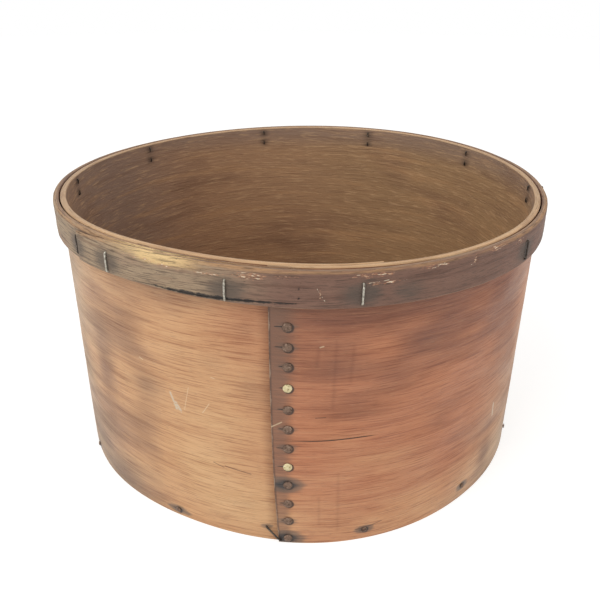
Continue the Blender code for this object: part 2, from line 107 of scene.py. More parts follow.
# Chalky rubs, scratches, checks and upright smudges of the wall: start, end and width in
# millimetres, as distance along the sheet from its outer end and height
WALL_BLOTS = (
    ((1120.5, 110.5), (1125.0, 99.0), 2.4),
    ((1124.5, 104.0), (1128.5, 97.5), 2.5),
    ((190.2, 70.6), (191.2, 59.5), 2.9),
)
WALL_SCRATCHES = (
    ((1131.5, 100.0), (1136.0, 119.0), 0.45),
    ((1146.0, 101.5), (1151.5, 110.0), 0.6),
    ((0.8, 101.2), (7.6, 105.4), 0.8),
    ((31.5, 161.9), (33.6, 162.6), 0.8),
    ((1095.0, 131.0), (1098.0, 130.0), 0.7),
    ((1154.0, 131.5), (1156.5, 131.0), 0.6),
)
WALL_CHECKS = (
    ((29.5, 109.3), (36.0, 109.6), 0.5),
    ((1152.0, 61.4), (1160.0, 59.0), 0.45),
    ((1161.0, 60.5), (1180.0, 57.6), 0.5),
    ((59.5, 9.6), (71.0, 11.4), 0.6),
    ((71.0, 11.4), (79.0, 13.4), 0.5),
)
WALL_SMUDGES = (
    ((41.6, 166.0), (40.2, 118.0), 3.4),
    ((52.4, 162.0), (51.2, 136.0), 3.4),
    ((31.0, 163.0), (29.6, 148.0), 2.8),
    ((32.7, 42.0), (33.2, 18.0), 3.0),
    ((45.6, 62.0), (46.4, 12.0), 3.4),
)

# Places painted lighter (+) and darker (-): partly the old shellac's own tone, partly painted
# highlight low at the front and painted shade under the hoop: bearing in degrees, then height,
# half length and half height in millimetres, and how much
TONE_PLACES = (
    (-19.5, 99.0, 34.0, 9.0, 0.26), (-16.5, 32.0, 34.0, 24.0, 0.42),
    (-41.0, 106.0, 9.0, 12.0, 0.20), (-27.0, 160.0, 22.0, 13.0, 0.16),
    (-38.5, 142.0, 20.0, 28.0, -0.22), (-34.5, 110.0, 17.0, 24.0, -0.12),
    (-60.0, 45.0, 66.0, 46.0, -0.24), (-42.0, 8.0, 42.0, 18.0, -0.24),
    (-24.0, 192.0, 62.0, 13.0, -0.16), (-13.0, 168.0, 24.0, 22.0, -0.10),
    (5.0, 180.0, 44.0, 24.0, -0.30), (40.0, 170.0, 62.0, 36.0, -0.30),
    (32.0, 104.0, 28.0, 40.0, -0.12), (6.0, 92.0, 36.0, 34.0, 0.10),
    (6.0, 24.0, 46.0, 22.0, 0.24), (24.0, 60.0, 36.0, 20.0, 0.34),
    (50.0, 38.0, 16.0, 22.0, -0.20), (22.0, 12.0, 40.0, 20.0, 0.42),
    (-34.0, 60.0, 14.0, 24.0, -0.14), (20.0, 187.0, 34.0, 9.0, -0.30),
    (52.0, 60.0, 30.0, 40.0, 0.06), (-49.0, 104.0, 14.0, 34.0, -0.26),
    (-21.0, 62.0, 18.0, 14.0, 0.30), (-48.0, 150.0, 20.0, 40.0, -0.14),
    (-38.0, 70.0, 24.0, 24.0, -0.24), (-9.0, 120.0, 13.0, 56.0, -0.20),
    (10.0, 114.0, 27.0, 12.0, -0.20), (20.0, 135.0, 18.0, 14.0, -0.14),
    (56.0, 90.0, 30.0, 60.0, -0.14), (24.5, 160.0, 18.0, 14.0, -0.16),
    (-17.0, 145.0, 14.0, 12.0, -0.12), (15.4, 189.0, 26.0, 9.0, -0.20),
    (7.0, 145.0, 26.0, 9.0, -0.30), (49.8, 23.0, 16.0, 14.0, -0.30),
    (-62.0, 108.0, 16.0, 22.0, -0.20), (-2.5, 16.0, 9.0, 14.0, 0.24),
    (15.2, 72.0, 20.0, 10.0, 0.16), (40.0, 171.0, 14.0, 12.0, 0.16),
)

# Slit where the hoop's outer layer has lifted, cut in as a groove with painted shade in it:
# bearings in degrees, height above the lower edge in millimetres and how open it is
SLIT_BEARINGS = (-33.0, -27.0, -20.0, -16.0, -13.0, -7.0, -2.0, 2.0)
SLIT_RISE = (1.2, 1.2, 1.3, 1.6, 2.1, 3.0, 3.3, 3.4)
SLIT_OPEN = (0.0, 0.6, 1.0, 1.2, 1.1, 0.75, 0.55, 0.0)

# Chipped places of the hoop: bearing in degrees, then height, half length and half height in
# millimetres
CHIP_PLACES = (
    (-29.0, 210.5, 24.0, 1.4), (-24.0, 208.8, 12.0, 1.6), (-16.0, 209.5, 16.0, 1.4),
    (-8.5, 210.8, 15.0, 3.4), (-2.0, 211.5, 14.0, 1.2), (12.0, 211.4, 22.0, 2.2),
    (14.5, 206.0, 14.0, 1.8), (24.5, 211.6, 16.0, 1.8), (33.5, 210.0, 3.0, 4.0),
    (40.0, 211.6, 14.0, 2.2), (48.0, 209.0, 8.0, 2.6), (3.4, 200.5, 1.4, 4.4),
    (118.0, 211.0, 24.0, 1.5), (168.0, 211.0, 20.0, 1.5), (-122.0, 211.5, 26.0, 1.6),
    (-80.0, 212.0, 18.0, 1.5),
)

# Pale scratches of the hoop: start, end and width in millimetres, as distance along the hoop
# from its outer end and height
HOOP_SCRATCHES = (
    ((172.0, 204.7), (172.3, 204.1), 0.7), ((172.8, 203.0), (173.1, 202.4), 0.6),
    ((173.7, 201.3), (174.0, 200.9), 0.7), ((174.8, 199.4), (175.2, 198.8), 0.6),
    ((176.0, 197.3), (176.3, 196.9), 0.7), ((201.0, 206.6), (213.0, 207.4), 0.6),
    ((222.0, 206.0), (226.0, 206.6), 0.6), ((240.0, 210.2), (249.0, 212.2), 0.8),
    ((269.0, 206.0), (272.0, 206.8), 0.8), ((273.0, 208.0), (274.4, 211.0), 0.7),
)

# Drying splits of the board: start, end and width in millimetres from its middle
BOARD_SPLITS = (((-165.0, 38.0), (-62.0, 35.0), 0.9), ((92.0, -71.0), (148.0, -69.5), 0.7))

# Red-brown and worn pale shares of the old shellac, at degrees along the wall from its outer end
RUSSET_TURNS = (0, 40, 60, 95, 150, 200, 250, 290, 320, 345, 358, 380)
RUSSET_SHARES = (0.95, 0.96, 0.64, 0.42, 0.45, 0.5, 0.35, 0.08, 0.06, 0.14, 0.36, 0.36)
PALE_TURNS = (0, 35, 65, 90, 130, 180, 230, 275, 300, 320, 340, 380)
PALE_SHARES = (0.0, 0.05, 0.5, 0.7, 0.4, 0.3, 0.5, 0.9, 0.75, 0.3, 0.0, 0.0)

# Values that the two sheets carry at their points, for their materials
WALL_FIELDS = ("russet", "worn", "tone", "grime", "iron", "crack", "end", "beside")
HOOP_FIELDS = ("worn", "chip", "pale", "fresh", "iron", "hole", "slit")

# Faces of a sheet's section, which are also its material slots
FACE, EDGE, INSIDE, END = range(4)

# How finely the pieces are divided, and the rows of a sheet's section below its flat rows
WALL_COLUMNS, WALL_ROWS = 406, 66
HOOP_COLUMNS, HOOP_ROWS = 1150, 14
BOARD_SIDES, BOARD_RINGS = 360, 33
HEAD_SIDES = 24
ROUND_STEPS = 4
FOOT_ROWS = ROUND_STEPS + 1

# Camera: lens and sensor width in millimetres, place in metres, tilt below level and roll
LENS, SENSOR = 40.35, 36.0
CAMERA_PLACE = (0.0, -0.5453, 0.3696)
CAMERA_TILT = radians(26.33)
CAMERA_ROLL = 0.0058


def colour(code):
    """An sRGB hex value as linear red, green and blue."""
    parts = [int(code[at:at + 2], 16) / 255.0 for at in (0, 2, 4)]
    return tuple(c / 12.92 if c <= 0.04045 else ((c + 0.055) / 1.055) ** 2.4 for c in parts)


def length(name, description, default):
    """A length that a user may change, in metres."""
    return FloatProperty(
        name=name, description=description, default=default, unit="LENGTH", subtype="DISTANCE",
        precision=5,
    )


def angle(name, description, degrees):
    """An angle that a user may change."""
    return FloatProperty(
        name=name, description=description, default=radians(degrees), unit="ROTATION",
        subtype="ANGLE",
    )


def tint(name, description, code):
    """A colour that a user may change."""
    return FloatVectorProperty(
        name=name, description=description, default=colour(code), subtype="COLOR", size=3,
        min=0.0, max=1.0,
    )


class HatBoxWall(PropertyGroup):
    """Sizes and colours of the tall bent sheet."""

    height: length("Height", "Height of the box at a level rim", 0.2147)
    inner_radius: length("Inner radius", "Radius of the sheet's inner face", 0.1854)
    thickness: length("Thickness", "Thickness of the sheet", 0.0047)
    end_thickness: length("End thickness", "Thickness left at the thinned ends", 0.0013)
    lap: length("Lap", "Length over which the two ends lie on each other", 0.0700)
    settle: length("Settle", "Length in which the sheet comes down off the lap", 0.1000)
    slant: length("End slant", "How far the outer end runs off the upright", 0.0050)
    flat_depth: length("Flat depth", "Depth of the flat beside the stiff lap", 0.0035)
    flat_reach: length("Flat reach", "Length from the middle of the flat to its end", 0.1160)
    warp: length("Rim warp", "How far the rim rises and falls", 0.0017)
    outer_end: angle("Outer end", "Bearing of the sheet's outer end", -5.75)
    flat_bearing: angle("Flat bearing", "Bearing of the middle of the flat", -25.0)
    warp_bearing: angle("Warp bearing", "Bearing where the rim is highest", -35.0)
    golden: tint("Golden", "Old shellac over pale wood", "d0a073")
    pale: tint("Pale", "Where the shellac has worn thin", "b79a7b")
    russet: tint("Russet", "Where the shellac has gone red-brown", "bb7a56")
    inside: tint("Inside", "Bare wood browned by age", "ad8565")
    inside_light: tint("Inside light", "Light streaks of the bare inside", "d9b287")
    edge: tint("Edge", "Cut edge rubbed bare", "d3aa7e")


class HatBoxHoop(PropertyGroup):
    """Sizes and colours of the narrow hoop round the rim."""

    height: length("Height", "Height of the hoop", 0.0235)
    thickness: length("Thickness", "Thickness of the hoop", 0.0048)
    end_thickness: length("End thickness", "Thickness left at the thinned ends", 0.0014)
    standoff: length("Standoff", "Gap between the hoop and the wall", 0.0006)
    lap: length("Lap", "Length over which the two ends lie on each other", 0.1630)
    settle: length("Settle", "Length in which the hoop comes down off the lap", 0.1000)
    ramp: length("Ramp", "Length in which the hoop climbs the wall's step", 0.1000)
    tip_drop: length("Tip drop", "How far the outer end droops", 0.0025)
    tip_reach: length("Tip reach", "Length of the drooping tip", 0.0500)
    outer_end: angle("Outer end", "Bearing of the hoop's outer end", -49.0)
    weathered: tint("Weathered", "Red-brown weathered face", "79594a")
    grey: tint("Grey", "Silvered tan face", "a38c71")
    dark: tint("Dark", "Open grain and grime", "3a2b22")
    worn: tint("Worn", "Corner rubbed down to fresh wood", "e6c48c")
    chip: tint("Chip", "Fresh splinters along the corner", "e8dcc2")


class HatBoxBoard(PropertyGroup):
    """Sizes and colours of the bottom board."""

    thickness: length("Thickness", "Thickness of the board", 0.0160)
    gap: length("Gap", "Gap between the board and the wall", 0.0003)
    early: tint("Early wood", "Pale wood between the rings", "a98360")
    late: tint("Late wood", "Darker line of each ring", "7b5537")
    grime: tint("Grime", "Dust and handling dirt", "54402f")


class HatBoxFasteners(PropertyGroup):
    """Sizes and colours of the tacks, nails and staples."""

    seat_gap: length("Seat gap", "Gap under a head or a crown, inside the solid's", 0.00015)
    tack_radius: length("Tack radius", "Radius of a tack's head", 0.0031)
    tack_height: length("Tack height", "Height of a tack's head", 0.0016)
    tack_shank: length("Tack shank", "Radius of a tack's shank", 0.00095)
    tack_clinch: length("Tack clinch", "Length of a tack's turned point", 0.0036)
    tack_bend: length("Tack bend", "Radius of the bend of the point", 0.0013)
    tack_edge: length("Tack edge distance", "From the sheet's end to the row of tacks", 0.0115)
    tack_below: length("Tack below hoop", "From the hoop to the row's top", 0.0145)
    nail_radius: length("Nail radius", "Radius of a nail's head", 0.0021)
    nail_height: length("Nail height", "Height of a nail's head", 0.0010)
    nail_shank: length("Nail shank", "Radius of a nail's shank", 0.0009)
    nail_length: length("Nail length", "Length of a nail's shank", 0.0250)
    nail_point: length("Nail point", "Length of a nail's point", 0.0030)
    wire_radius: length("Wire radius", "Radius of the staple wire", 0.00065)
    crown: length("Crown", "Length of a staple's crown", 0.0145)
    bend: length("Staple bend", "Radius of a staple's bends", 0.0010)
    clinch: length("Staple clinch", "Length of a staple's turned points", 0.0028)
    margin: length("Hoop margin", "Least distance from a crown to the hoop's edge", 0.0006)
    iron: tint("Iron", "Brown rusted iron", "7c6454")
    iron_dark: tint("Iron dark", "Dark scale in the hollows", "4b3b31")
    iron_rubbed: tint("Iron rubbed", "High spots rubbed by hands", "a99481")
    brass: tint("Brass", "Pale tarnished brass", "d6c9a0")
    steel: tint("Steel", "Bare drawn wire", "b9b3a6")


class HatBoxStage(PropertyGroup):
    """Floor, light and world."""

    floor: tint("Floor", "White paper floor", "f4f2ee")
    key_power: FloatProperty(
        name="Key power", description="Power of the large soft lamp", default=22.0, unit="POWER"
    )
    fill_power: FloatProperty(
        name="Fill power", description="Power of the lamp on the other side", default=5.0,
        unit="POWER",
    )
    world: FloatProperty(
        name="World", description="Strength of the even light from all round", default=0.62,
        min=0.0, max=1.0,
    )


def clamp(value):
    """The value held between 0 and 1."""
    return np.clip(value, 0.0, 1.0)


def ease(value):
    """A share from 0 to 1, levelled off at both ends."""
    share = clamp(value)
    return share * share * (3.0 - 2.0 * share)


def turn_between(bearing, other):
    """The angle from one bearing to another the short way round."""
    return (bearing - other + pi) % tau - pi


def wander(seed, along, step):
    """A smooth random line from 0 to 1 along one direction, with a new value every step."""
    values = np.random.RandomState(seed).rand(512)
    place = np.asarray(along) / step
    first = np.floor(place).astype(int)
    share = ease(place - first)
    return values[first % 512] * (1.0 - share) + values[(first + 1) % 512] * share


def mottle(seed, along, across, step_along, step_across):
    """A smooth random field from 0 to 1 over two directions."""
    values = np.random.RandomState(seed).rand(512, 64)
    u, v = np.broadcast_arrays(np.asarray(along) / step_along, np.asarray(across) / step_across)
    i, j = np.floor(u).astype(int), np.floor(v).astype(int)
    s, t = ease(u - i), ease(v - j)
    near = values[i % 512, j % 64] * (1 - s) + values[(i + 1) % 512, j % 64] * s
    far = values[i % 512, (j + 1) % 64] * (1 - s) + values[(i + 1) % 512, (j + 1) % 64] * s
    return near * (1 - t) + far * t


class Sheet:
    """A sheet bent once round the box, its two ends thinned and lapped."""

    def __init__(self, bed, outer_end, sizes, radius, gap):
        self.bed, self.outer_end = bed, outer_end
        self.thickness, self.end_thickness = sizes.thickness, sizes.end_thickness
        self.inner_end = sizes.outer_end + sizes.lap / radius
        self.settle = sizes.settle / radius
        self.gap = gap

    def faces(self, along, height):
        """Inner and outer radius at a bearing counted from the outer end."""
        start = self.outer_end(height)
        lap = self.inner_end - start
        over = clamp((along - start) / lap)
        under = clamp((along - tau - start) / lap)
        taper = self.thickness - self.end_thickness
        settled = ease((along - self.inner_end) / self.settle)
        inner = self.bed(along) + taper * (1.0 - over)
        inner = inner + (self.end_thickness + self.gap) * (1.0 - settled)
        return inner, inner + self.thickness - taper * np.maximum(1.0 - over, under)

    def outside(self, bearing, height):
        """Radius of the outermost face."""
        start = self.outer_end(height)
        return self.faces(start + (bearing - start) % tau, height)[1]

    def inside(self, bearing, height):
        """Radius of the innermost face."""
        start = self.outer_end(height)
        along = start + (bearing - start) % tau
        along = np.where(along < self.inner_end, along + tau, along)
        return self.faces(along, height)[0]


class Box:
    """The box's shape, from the sizes that the scene holds."""

    def __init__(self, scene):
        wall, hoop, gap = scene.hat_box_wall, scene.hat_box_hoop, scene.hat_box_board.gap
        self.sizes, self.hoop_sizes = wall, hoop
        self.radius = wall.inner_radius + wall.thickness

        def wall_bed(bearing):
            off = np.abs(turn_between(bearing, wall.flat_bearing)) * self.radius
            return wall.inner_radius - wall.flat_depth * ease(1.0 - off / wall.flat_reach)

        def wall_end(height):
            slant = wall.slant * clamp(1.0 - height / wall.height) ** 3
            return wall.outer_end + slant / self.radius

        self.wall = Sheet(wall_bed, wall_end, wall, self.radius, gap)

        def hoop_bed(bearing):
            step = wall.end_thickness + gap
            before = (wall.outer_end - bearing) % tau * self.radius
            ramp = step * ease(1.0 - before / hoop.ramp)
            return self.wall.outside(bearing, wall.height) + hoop.standoff + ramp

        self.hoop = Sheet(hoop_bed, lambda height: hoop.outer_end, hoop, self.radius, gap)

    def rim(self, bearing):
        """Height of the rim, which has warped a little up and down twice round the box."""
        sizes = self.sizes
        return sizes.height + sizes.warp * np.cos(2.0 * (bearing - sizes.warp_bearing))

    def seam_row(self, sizes, board):
        """Bearing of the row of heads down the seam, and their heights from the top."""
        bearing = self.sizes.outer_end + sizes.tack_edge / self.radius
        top = self.rim(bearing) - self.hoop_sizes.height - sizes.tack_below
        foot = board.thickness / 2.0 + SEAM_NAIL_LIFT * MM
        return bearing, np.linspace(top, foot, len(TACK_DRIFTS)) - np.array(TACK_DRIFTS) * MM

    def rim_staples(self, sizes):
        """Bearing and height of each rim staple's crown, and how low it sits, from -1 to +1."""
        spare = (self.hoop_sizes.height - sizes.crown) / 2.0 - sizes.margin
        middle = self.hoop_sizes.height / 2.0
        return [
            (radians(b), float(self.rim(radians(b))) - middle - spare * drop, drop)
            for b, drop in RIM_STAPLES
        ]

    def board_nails(self, board):
        """Bearing and height of each nail into the board."""
        return [(radians(b), board.thickness / 2.0 + lift * MM) for b, lift in BOARD_NAILS]


def round_point(bearing, radius, height):
    """The point at a bearing, a distance from the box's axis and a height."""
    return Vector((radius * sin(bearing), -radius * cos(bearing), height))


def seat(bearing, radius, height):
    """Placement with Z pointing straight out of the wall and Y up."""
    along = Vector((cos(bearing), sin(bearing), 0.0))
    outward = Vector((sin(bearing), -cos(bearing), 0.0))
    turned = Matrix((along, Vector((0.0, 0.0, 1.0)), outward)).transposed()
    return Matrix.Translation(round_point(bearing, radius, height)) @ turned.to_4x4()


def stain_round(bearing, height, places, radius, stretch):
    """Darkness from 0 to 1 round (bearing, height, size, strength) places, drawn out sideways."""
    stain = np.zeros(np.broadcast(bearing, height).shape)
    for place_bearing, place_height, size, strength in places:
        sideways = turn_between(bearing, place_bearing) * radius / stretch
        distance = np.hypot(sideways, height - place_height)
        stain = np.maximum(stain, strength * np.exp(-((distance / size) ** 2)))
    return stain


def metric(places):
    """(bearing, height, size, strength) places turned from degrees and millimetres."""
    return [(radians(b), h * MM, size * MM, strength) for b, h, size, strength in places]


def off_centre(along, height, radius, bearing, level, reach, rise):
    """How far points lie from a place's middle, counted in its half length and half height."""
    sideways = turn_between(along, radians(bearing)) * radius / MM / reach
    return np.hypot(sideways, (height / MM - level) / rise)


def add_object(name, data):
    """Adds an object with the data to the scene."""
    added = bpy.data.objects.new(name, data)
    bpy.context.scene.collection.objects.link(added)
    return added


def add_piece(name, mesh, nodes, materials):
    """Adds the mesh as a piece that rides on the box and stands for the solids named."""
    for material in materials:
        mesh.materials.append(material)
    piece = add_object(name, mesh)
    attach(piece, BODY)
    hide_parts(*nodes)


def carry(mesh, name, values):
    """Lets the mesh carry a value at each of its points."""
    mesh.attributes.new(name, "FLOAT", "POINT").data.foreach_set("value", values)


def smooth(mesh, degrees):
    """Shades the mesh smooth, with edges sharper than an angle left sharp."""
    mesh.shade_smooth()
    mesh.set_sharp_from_angle(angle=radians(degrees))


def half_section(bottom, top, rows, foot, corner):
    """Insets, heights and face kinds of one side of a sheet's section, from foot to rim.

    `rows` are heights between the rounded foot and the rounded corner, and `foot` and `corner`
    hold how far each rounding reaches into the face and down it.
    """
    turns = np.linspace(0.0, pi / 2.0, ROUND_STEPS)
    flat = np.zeros_like(top)
    insets, heights = [], []
    for turn in turns:
        insets.append(foot[0] * (1.0 - sin(turn)) + flat)
        heights.append(bottom + foot[1] * (1.0 - cos(turn)))
    insets.append(flat)
    heights.append(bottom + foot[1] * 2.0)
    for height in rows:
        insets.append(flat)
        heights.append(height)
    insets.append(flat)
    heights.append(top - corner[1] * 1.3)
    for turn in turns:
        insets.append(corner[0] * (1.0 - cos(turn)) + flat)
        heights.append(top - corner[1] * (1.0 - sin(turn)))
    kinds = [EDGE] * (len(turns) - 1) + [FACE] * (len(rows) + 3) + [EDGE] * len(turns)
    return np.array(insets), np.array(heights), kinds


def bent_mesh(name, box, sheet, columns, section, relief, fields):
    """A closed mesh of a bent sheet.

    `section` holds the insets of the outer and of the inner side, the heights and the kinds of
    the faces; `relief` and `fields` are functions of bearing, height and distance along, for the
    outer and the inner side.
    """
    outer_inset, inner_inset, height, kinds = section
    start = sheet.outer_end(box.sizes.height)
    slant = sheet.outer_end(height) - start
    along = columns + slant * (1.0 - ease((columns - start) / sheet.settle)) + 0.0 * height
    inner, outer = sheet.faces(along, height)
    depth = outer - inner
    distance = (along - start) * box.radius
    thin = depth / sheet.thickness
    most = depth * 0.45
    outside = outer - np.minimum(outer_inset + relief[0](along, height, distance) * thin, most)
    inside = inner + np.minimum(inner_inset + relief[1](along, height, distance) * thin, most)
    across = np.concatenate([outer_inset, (depth - inner_inset)[::-1]])
    around = np.concatenate([along, along[::-1]])
    radius = np.concatenate([outside, inside[::-1]])
    up = np.concatenate([height, height[::-1]])
    run = np.concatenate([distance, distance[::-1]])
    points = np.stack([radius * np.sin(around), -radius * np.cos(around), up], axis=-1)
    by_face = np.stack([run, up], axis=-1)
    uv = [by_face, np.stack([run, across], axis=-1), by_face, np.stack([up, across], axis=-1)]

    rows, count = radius.shape
    index = np.arange(rows * count).reshape(rows, count)
    after = np.roll(index, -1, axis=0)
    sides = np.stack([index[:, :-1], index[:, 1:], after[:, 1:], after[:, :-1]], axis=-1)
    face_kinds = kinds + [INSIDE if kind == FACE else kind for kind in kinds[-2::-1]] + [EDGE]
    low, high = index[:rows // 2], index[rows // 2:][::-1]
    first, last = (
        np.stack([low[:-1, c], low[1:, c], high[1:, c], high[:-1, c]], axis=-1) for c in (0, -1)
    )
    faces = np.concatenate([sides.reshape(-1, 4), first, last[:, ::-1]])
    face_kinds = np.concatenate([
        np.repeat(face_kinds, count - 1), np.full(len(first) + len(last), END),
    ])
    mesh = bpy.data.meshes.new(name)
    mesh.from_pydata(points.reshape(-1, 3).tolist(), [], faces.tolist())
    mesh.polygons.foreach_set("material_index", np.where(face_kinds == END, EDGE, face_kinds))
    corners = np.array(uv).reshape(len(uv), -1, 2)[np.repeat(face_kinds, 4), faces.reshape(-1)]
    mesh.uv_layers.new(name="sheet").uv.foreach_set("vector", corners.reshape(-1))
    outer_fields = fields[0](along, height, distance)
    inner_fields = fields[1](along, height, distance)
    for field, values in outer_fields.items():
        both = np.concatenate([values, inner_fields[field][::-1]])
        carry(mesh, field, both.reshape(-1))
    smooth(mesh, 50.0)
    mesh.update()
    return mesh


def turned_mesh(name, profile, dents, seed, shape=None):
    """A solid turned about Z from its top to its point, with small dents, bent by `shape`."""
    sides = HEAD_SIDES
    turns = np.arange(sides) * tau / sides
    bm = bmesh.new()
    rings = []
    for radius, height in profile:
        if radius == 0.0:
            rings.append([bm.verts.new((0.0, 0.0, height))])
            continue
        ring = []
        for turn in turns:
            x, y = radius * cos(turn), radius * sin(turn)
            dent = float(mottle(seed, x + 1.0, y + 1.0, 1.1 * MM, 1.1 * MM)) * dents
            ring.append(bm.verts.new((x, y, height - dent if height > 0.0 else height)))
        rings.append(ring)
    for upper, lower in zip(rings, rings[1:]):
        for side in range(sides):
            after = (side + 1) % sides
            corners = [upper[side % len(upper)], lower[side % len(lower)]]
            corners += [lower[after % len(lower)], upper[after % len(upper)]]
            bm.faces.new(list(dict.fromkeys(corners)))
    if shape is not None:
        for vert in bm.verts:
            vert.co = shape(vert.co.copy())
    bmesh.ops.recalc_face_normals(bm, faces=bm.faces)
    mesh = bpy.data.meshes.new(name)
    bm.to_mesh(mesh)
    bm.free()
    smooth(mesh, 55.0)
    return mesh


def wire_mesh(name, points, radius):
    """A round wire through the points, its two ends drawn to blunt points."""
    curve = bpy.data.curves.new(name, "CURVE")
    curve.dimensions = "3D"
    curve.bevel_depth = radius
    curve.bevel_resolution = 4
    curve.use_fill_caps = True
    spline = curve.splines.new("POLY")
    spline.points.add(len(points) - 1)
    for index, point in enumerate(points):
        spline.points[index].co = (*point, 1.0)
    spline.points[0].radius = spline.points[-1].radius = 0.45
    piece = add_object(name, curve)
    graph = bpy.context.evaluated_depsgraph_get()
    mesh = bpy.data.meshes.new_from_object(piece.evaluated_get(graph))
    bpy.data.objects.remove(piece)
    bm = bmesh.new()
    bm.from_mesh(mesh)
    bmesh.ops.remove_doubles(bm, verts=bm.verts, dist=0.00001)
    bmesh.ops.recalc_face_normals(bm, faces=bm.faces)
    bm.to_mesh(mesh)
    bm.free()
    mesh.materials.clear()
    mesh.name = name
    smooth(mesh, 60.0)
    return mesh


def quarter(first, last, centre):
    """Points of a quarter arc from one point to another."""
    first, last, centre = Vector(first), Vector(last), Vector(centre)
    turns = [pi / 8.0 * step for step in range(5)]
    return [centre + (first - centre) * cos(t) + (last - centre) * sin(t) for t in turns]


def add_node(tree, kind, inputs=None, **settings):
    """Adds a shader node with its settings, and gives each input a value or a link."""
    node = tree.nodes.new(kind)
    for name, value in settings.items():
        setattr(node, name, value)
    for key, value in (inputs or {}).items():
        if isinstance(value, bpy.types.NodeSocket):
            tree.links.new(value, node.inputs[key])
        else:
            node.inputs[key].default_value = value
    return node


def new_material(name, **finish):
    """A material whose Principled shader has the finish, as its node tree and the shader."""
    material = bpy.data.materials.new(name)
    material.use_nodes = True
    shader = material.node_tree.nodes["Principled BSDF"]
    for socket, value in finish.items():
        shader.inputs[socket.replace("_", " ")].default_value = value
    return material, material.node_tree, shader


def grain(tree, coords, length, width, shift, detail=2.0, slope=0.0):
    """A pattern from 0 to 1 of streaks of about a length and a width in millimetres."""
    placed = add_node(
        tree, "ShaderNodeMapping",
        {
            "Vector": coords,
            "Location": (shift, shift * 1.7, 0.0),
            "Rotation": (0.0, 0.0, radians(slope)),
            "Scale": (1.0 / (length * MM), 1.0 / (width * MM), 1.0),
        },
    )
    streaks = add_node(
        tree, "ShaderNodeTexNoise",
        {"Vector": placed.outputs[0], "Scale": 1.0, "Detail": detail, "Roughness": 0.6},
        noise_dimensions="2D",
    )
    return streaks.outputs[0]


def laid_over(tree, under, over, pattern, low, high, strength, blend="MIX"):
    """The colour under, with another laid over it where the pattern runs from low to high."""
    share = add_node(
        tree, "ShaderNodeMapRange",
        {"Value": pattern, "From Min": low, "From Max": high, "To Max": strength},
        interpolation_type="SMOOTHSTEP",
    )
    over = over if isinstance(over, bpy.types.NodeSocket) else (*over, 1.0)
    under = under if isinstance(under, bpy.types.NodeSocket) else (*under, 1.0)
    mixed = add_node(
        tree, "ShaderNodeMix", {"Factor": share.outputs[0], 6: under, 7: over},
        data_type="RGBA", blend_type=blend,
    )
    return mixed.outputs[2]


def coats(tree, wood, layers):
    """Lays coats over each other, each a colour and then what `laid_over` takes."""
    for over, *rest in layers:
        wood = laid_over(tree, wood, colour(over) if isinstance(over, str) else over, *rest)
    return wood


def ragged(tree, value, pattern, amount):
    """A value whose edges a pattern breaks up by an amount to either side."""
    broken = add_node(tree, "ShaderNodeMath", {0: pattern, 1: amount * 2.0, 2: value},
                      operation="MULTIPLY_ADD")
    return add_node(tree, "ShaderNodeMath", {0: broken.outputs[0], 1: amount},
                    operation="SUBTRACT").outputs[0]


def sheet_coords(tree):
    """Distance along the sheet and height on it, in metres, with a slow drift of the grain."""
    sheet = add_node(tree, "ShaderNodeUVMap", uv_map="sheet").outputs[0]
    slow = grain(tree, sheet, 160.0, 60.0, 3.0, detail=1.0)
    drift = add_node(tree, "ShaderNodeCombineXYZ", {"Y": slow})
    return add_node(
        tree, "ShaderNodeVectorMath",
        {0: drift.outputs[0], 1: (0.0, 9.0 * MM, 0.0), 2: sheet}, operation="MULTIPLY_ADD",
    ).outputs[0]


def pressed(tree, shader, patterns, depth):
    """Gives the shader a relief from (pattern, share) pairs, `depth` deep in millimetres."""
    height = 0.0
    for pattern, share in patterns:
        height = add_node(
            tree, "ShaderNodeMath", {0: pattern, 1: share, 2: height}, operation="MULTIPLY_ADD"
        ).outputs[0]
    bump = add_node(tree, "ShaderNodeBump", {"Height": height, "Distance": depth * MM})
    tree.links.new(bump.outputs[0], shader.inputs["Normal"])


def mark(tree, coords, start, end, width):
    """A line from 0 to 1 between two places on the sheet, all in millimetres."""
    (x0, y0), (x1, y1) = start, end
    run = Vector(((x1 - x0) * MM, (y1 - y0) * MM, 0.0))
    from_start = add_node(
        tree, "ShaderNodeVectorMath", {0: coords, 1: (x0 * MM, y0 * MM, 0.0)},
        operation="SUBTRACT",
    ).outputs[0]
    share = add_node(
        tree, "ShaderNodeVectorMath", {0: from_start, 1: run / run.length_squared},
        operation="DOT_PRODUCT",
    ).outputs["Value"]
    held = add_node(tree, "ShaderNodeClamp", {"Value": share}).outputs[0]
    nearest = add_node(
        tree, "ShaderNodeVectorMath", {0: run, "Scale": held}, operation="SCALE"
    ).outputs[0]
    off = add_node(
        tree, "ShaderNodeVectorMath", {0: from_start, 1: nearest}, operation="DISTANCE"
    ).outputs["Value"]
    return add_node(
        tree, "ShaderNodeMapRange",
        {"Value": off, "From Min": width * MM, "From Max": 0.0},
    ).outputs[0]


def painted_head_shadows(tree, sheet, places):
    """Painted shadow round each head, from (distance along, height, radius) places in metres."""
    rings = 0.0
    for along, height, radius in places:
        # the painted shadow lies under the lower right of a head, away from the key light
        centre = (along + 0.7 * MM, height - 0.6 * MM, 0.0)
        off = add_node(tree, "ShaderNodeVectorMath", {0: sheet, 1: centre}, operation="DISTANCE")
        ring = add_node(
            tree, "ShaderNodeMapRange",
            {"Value": off.outputs["Value"], "From Min": radius + 0.9 * MM,
             "From Max": radius + 0.1 * MM},
        )
        rings = add_node(tree, "ShaderNodeMath", {0: ring.outputs[0], 1: rings},
                         operation="MAXIMUM").outputs[0]
    return rings


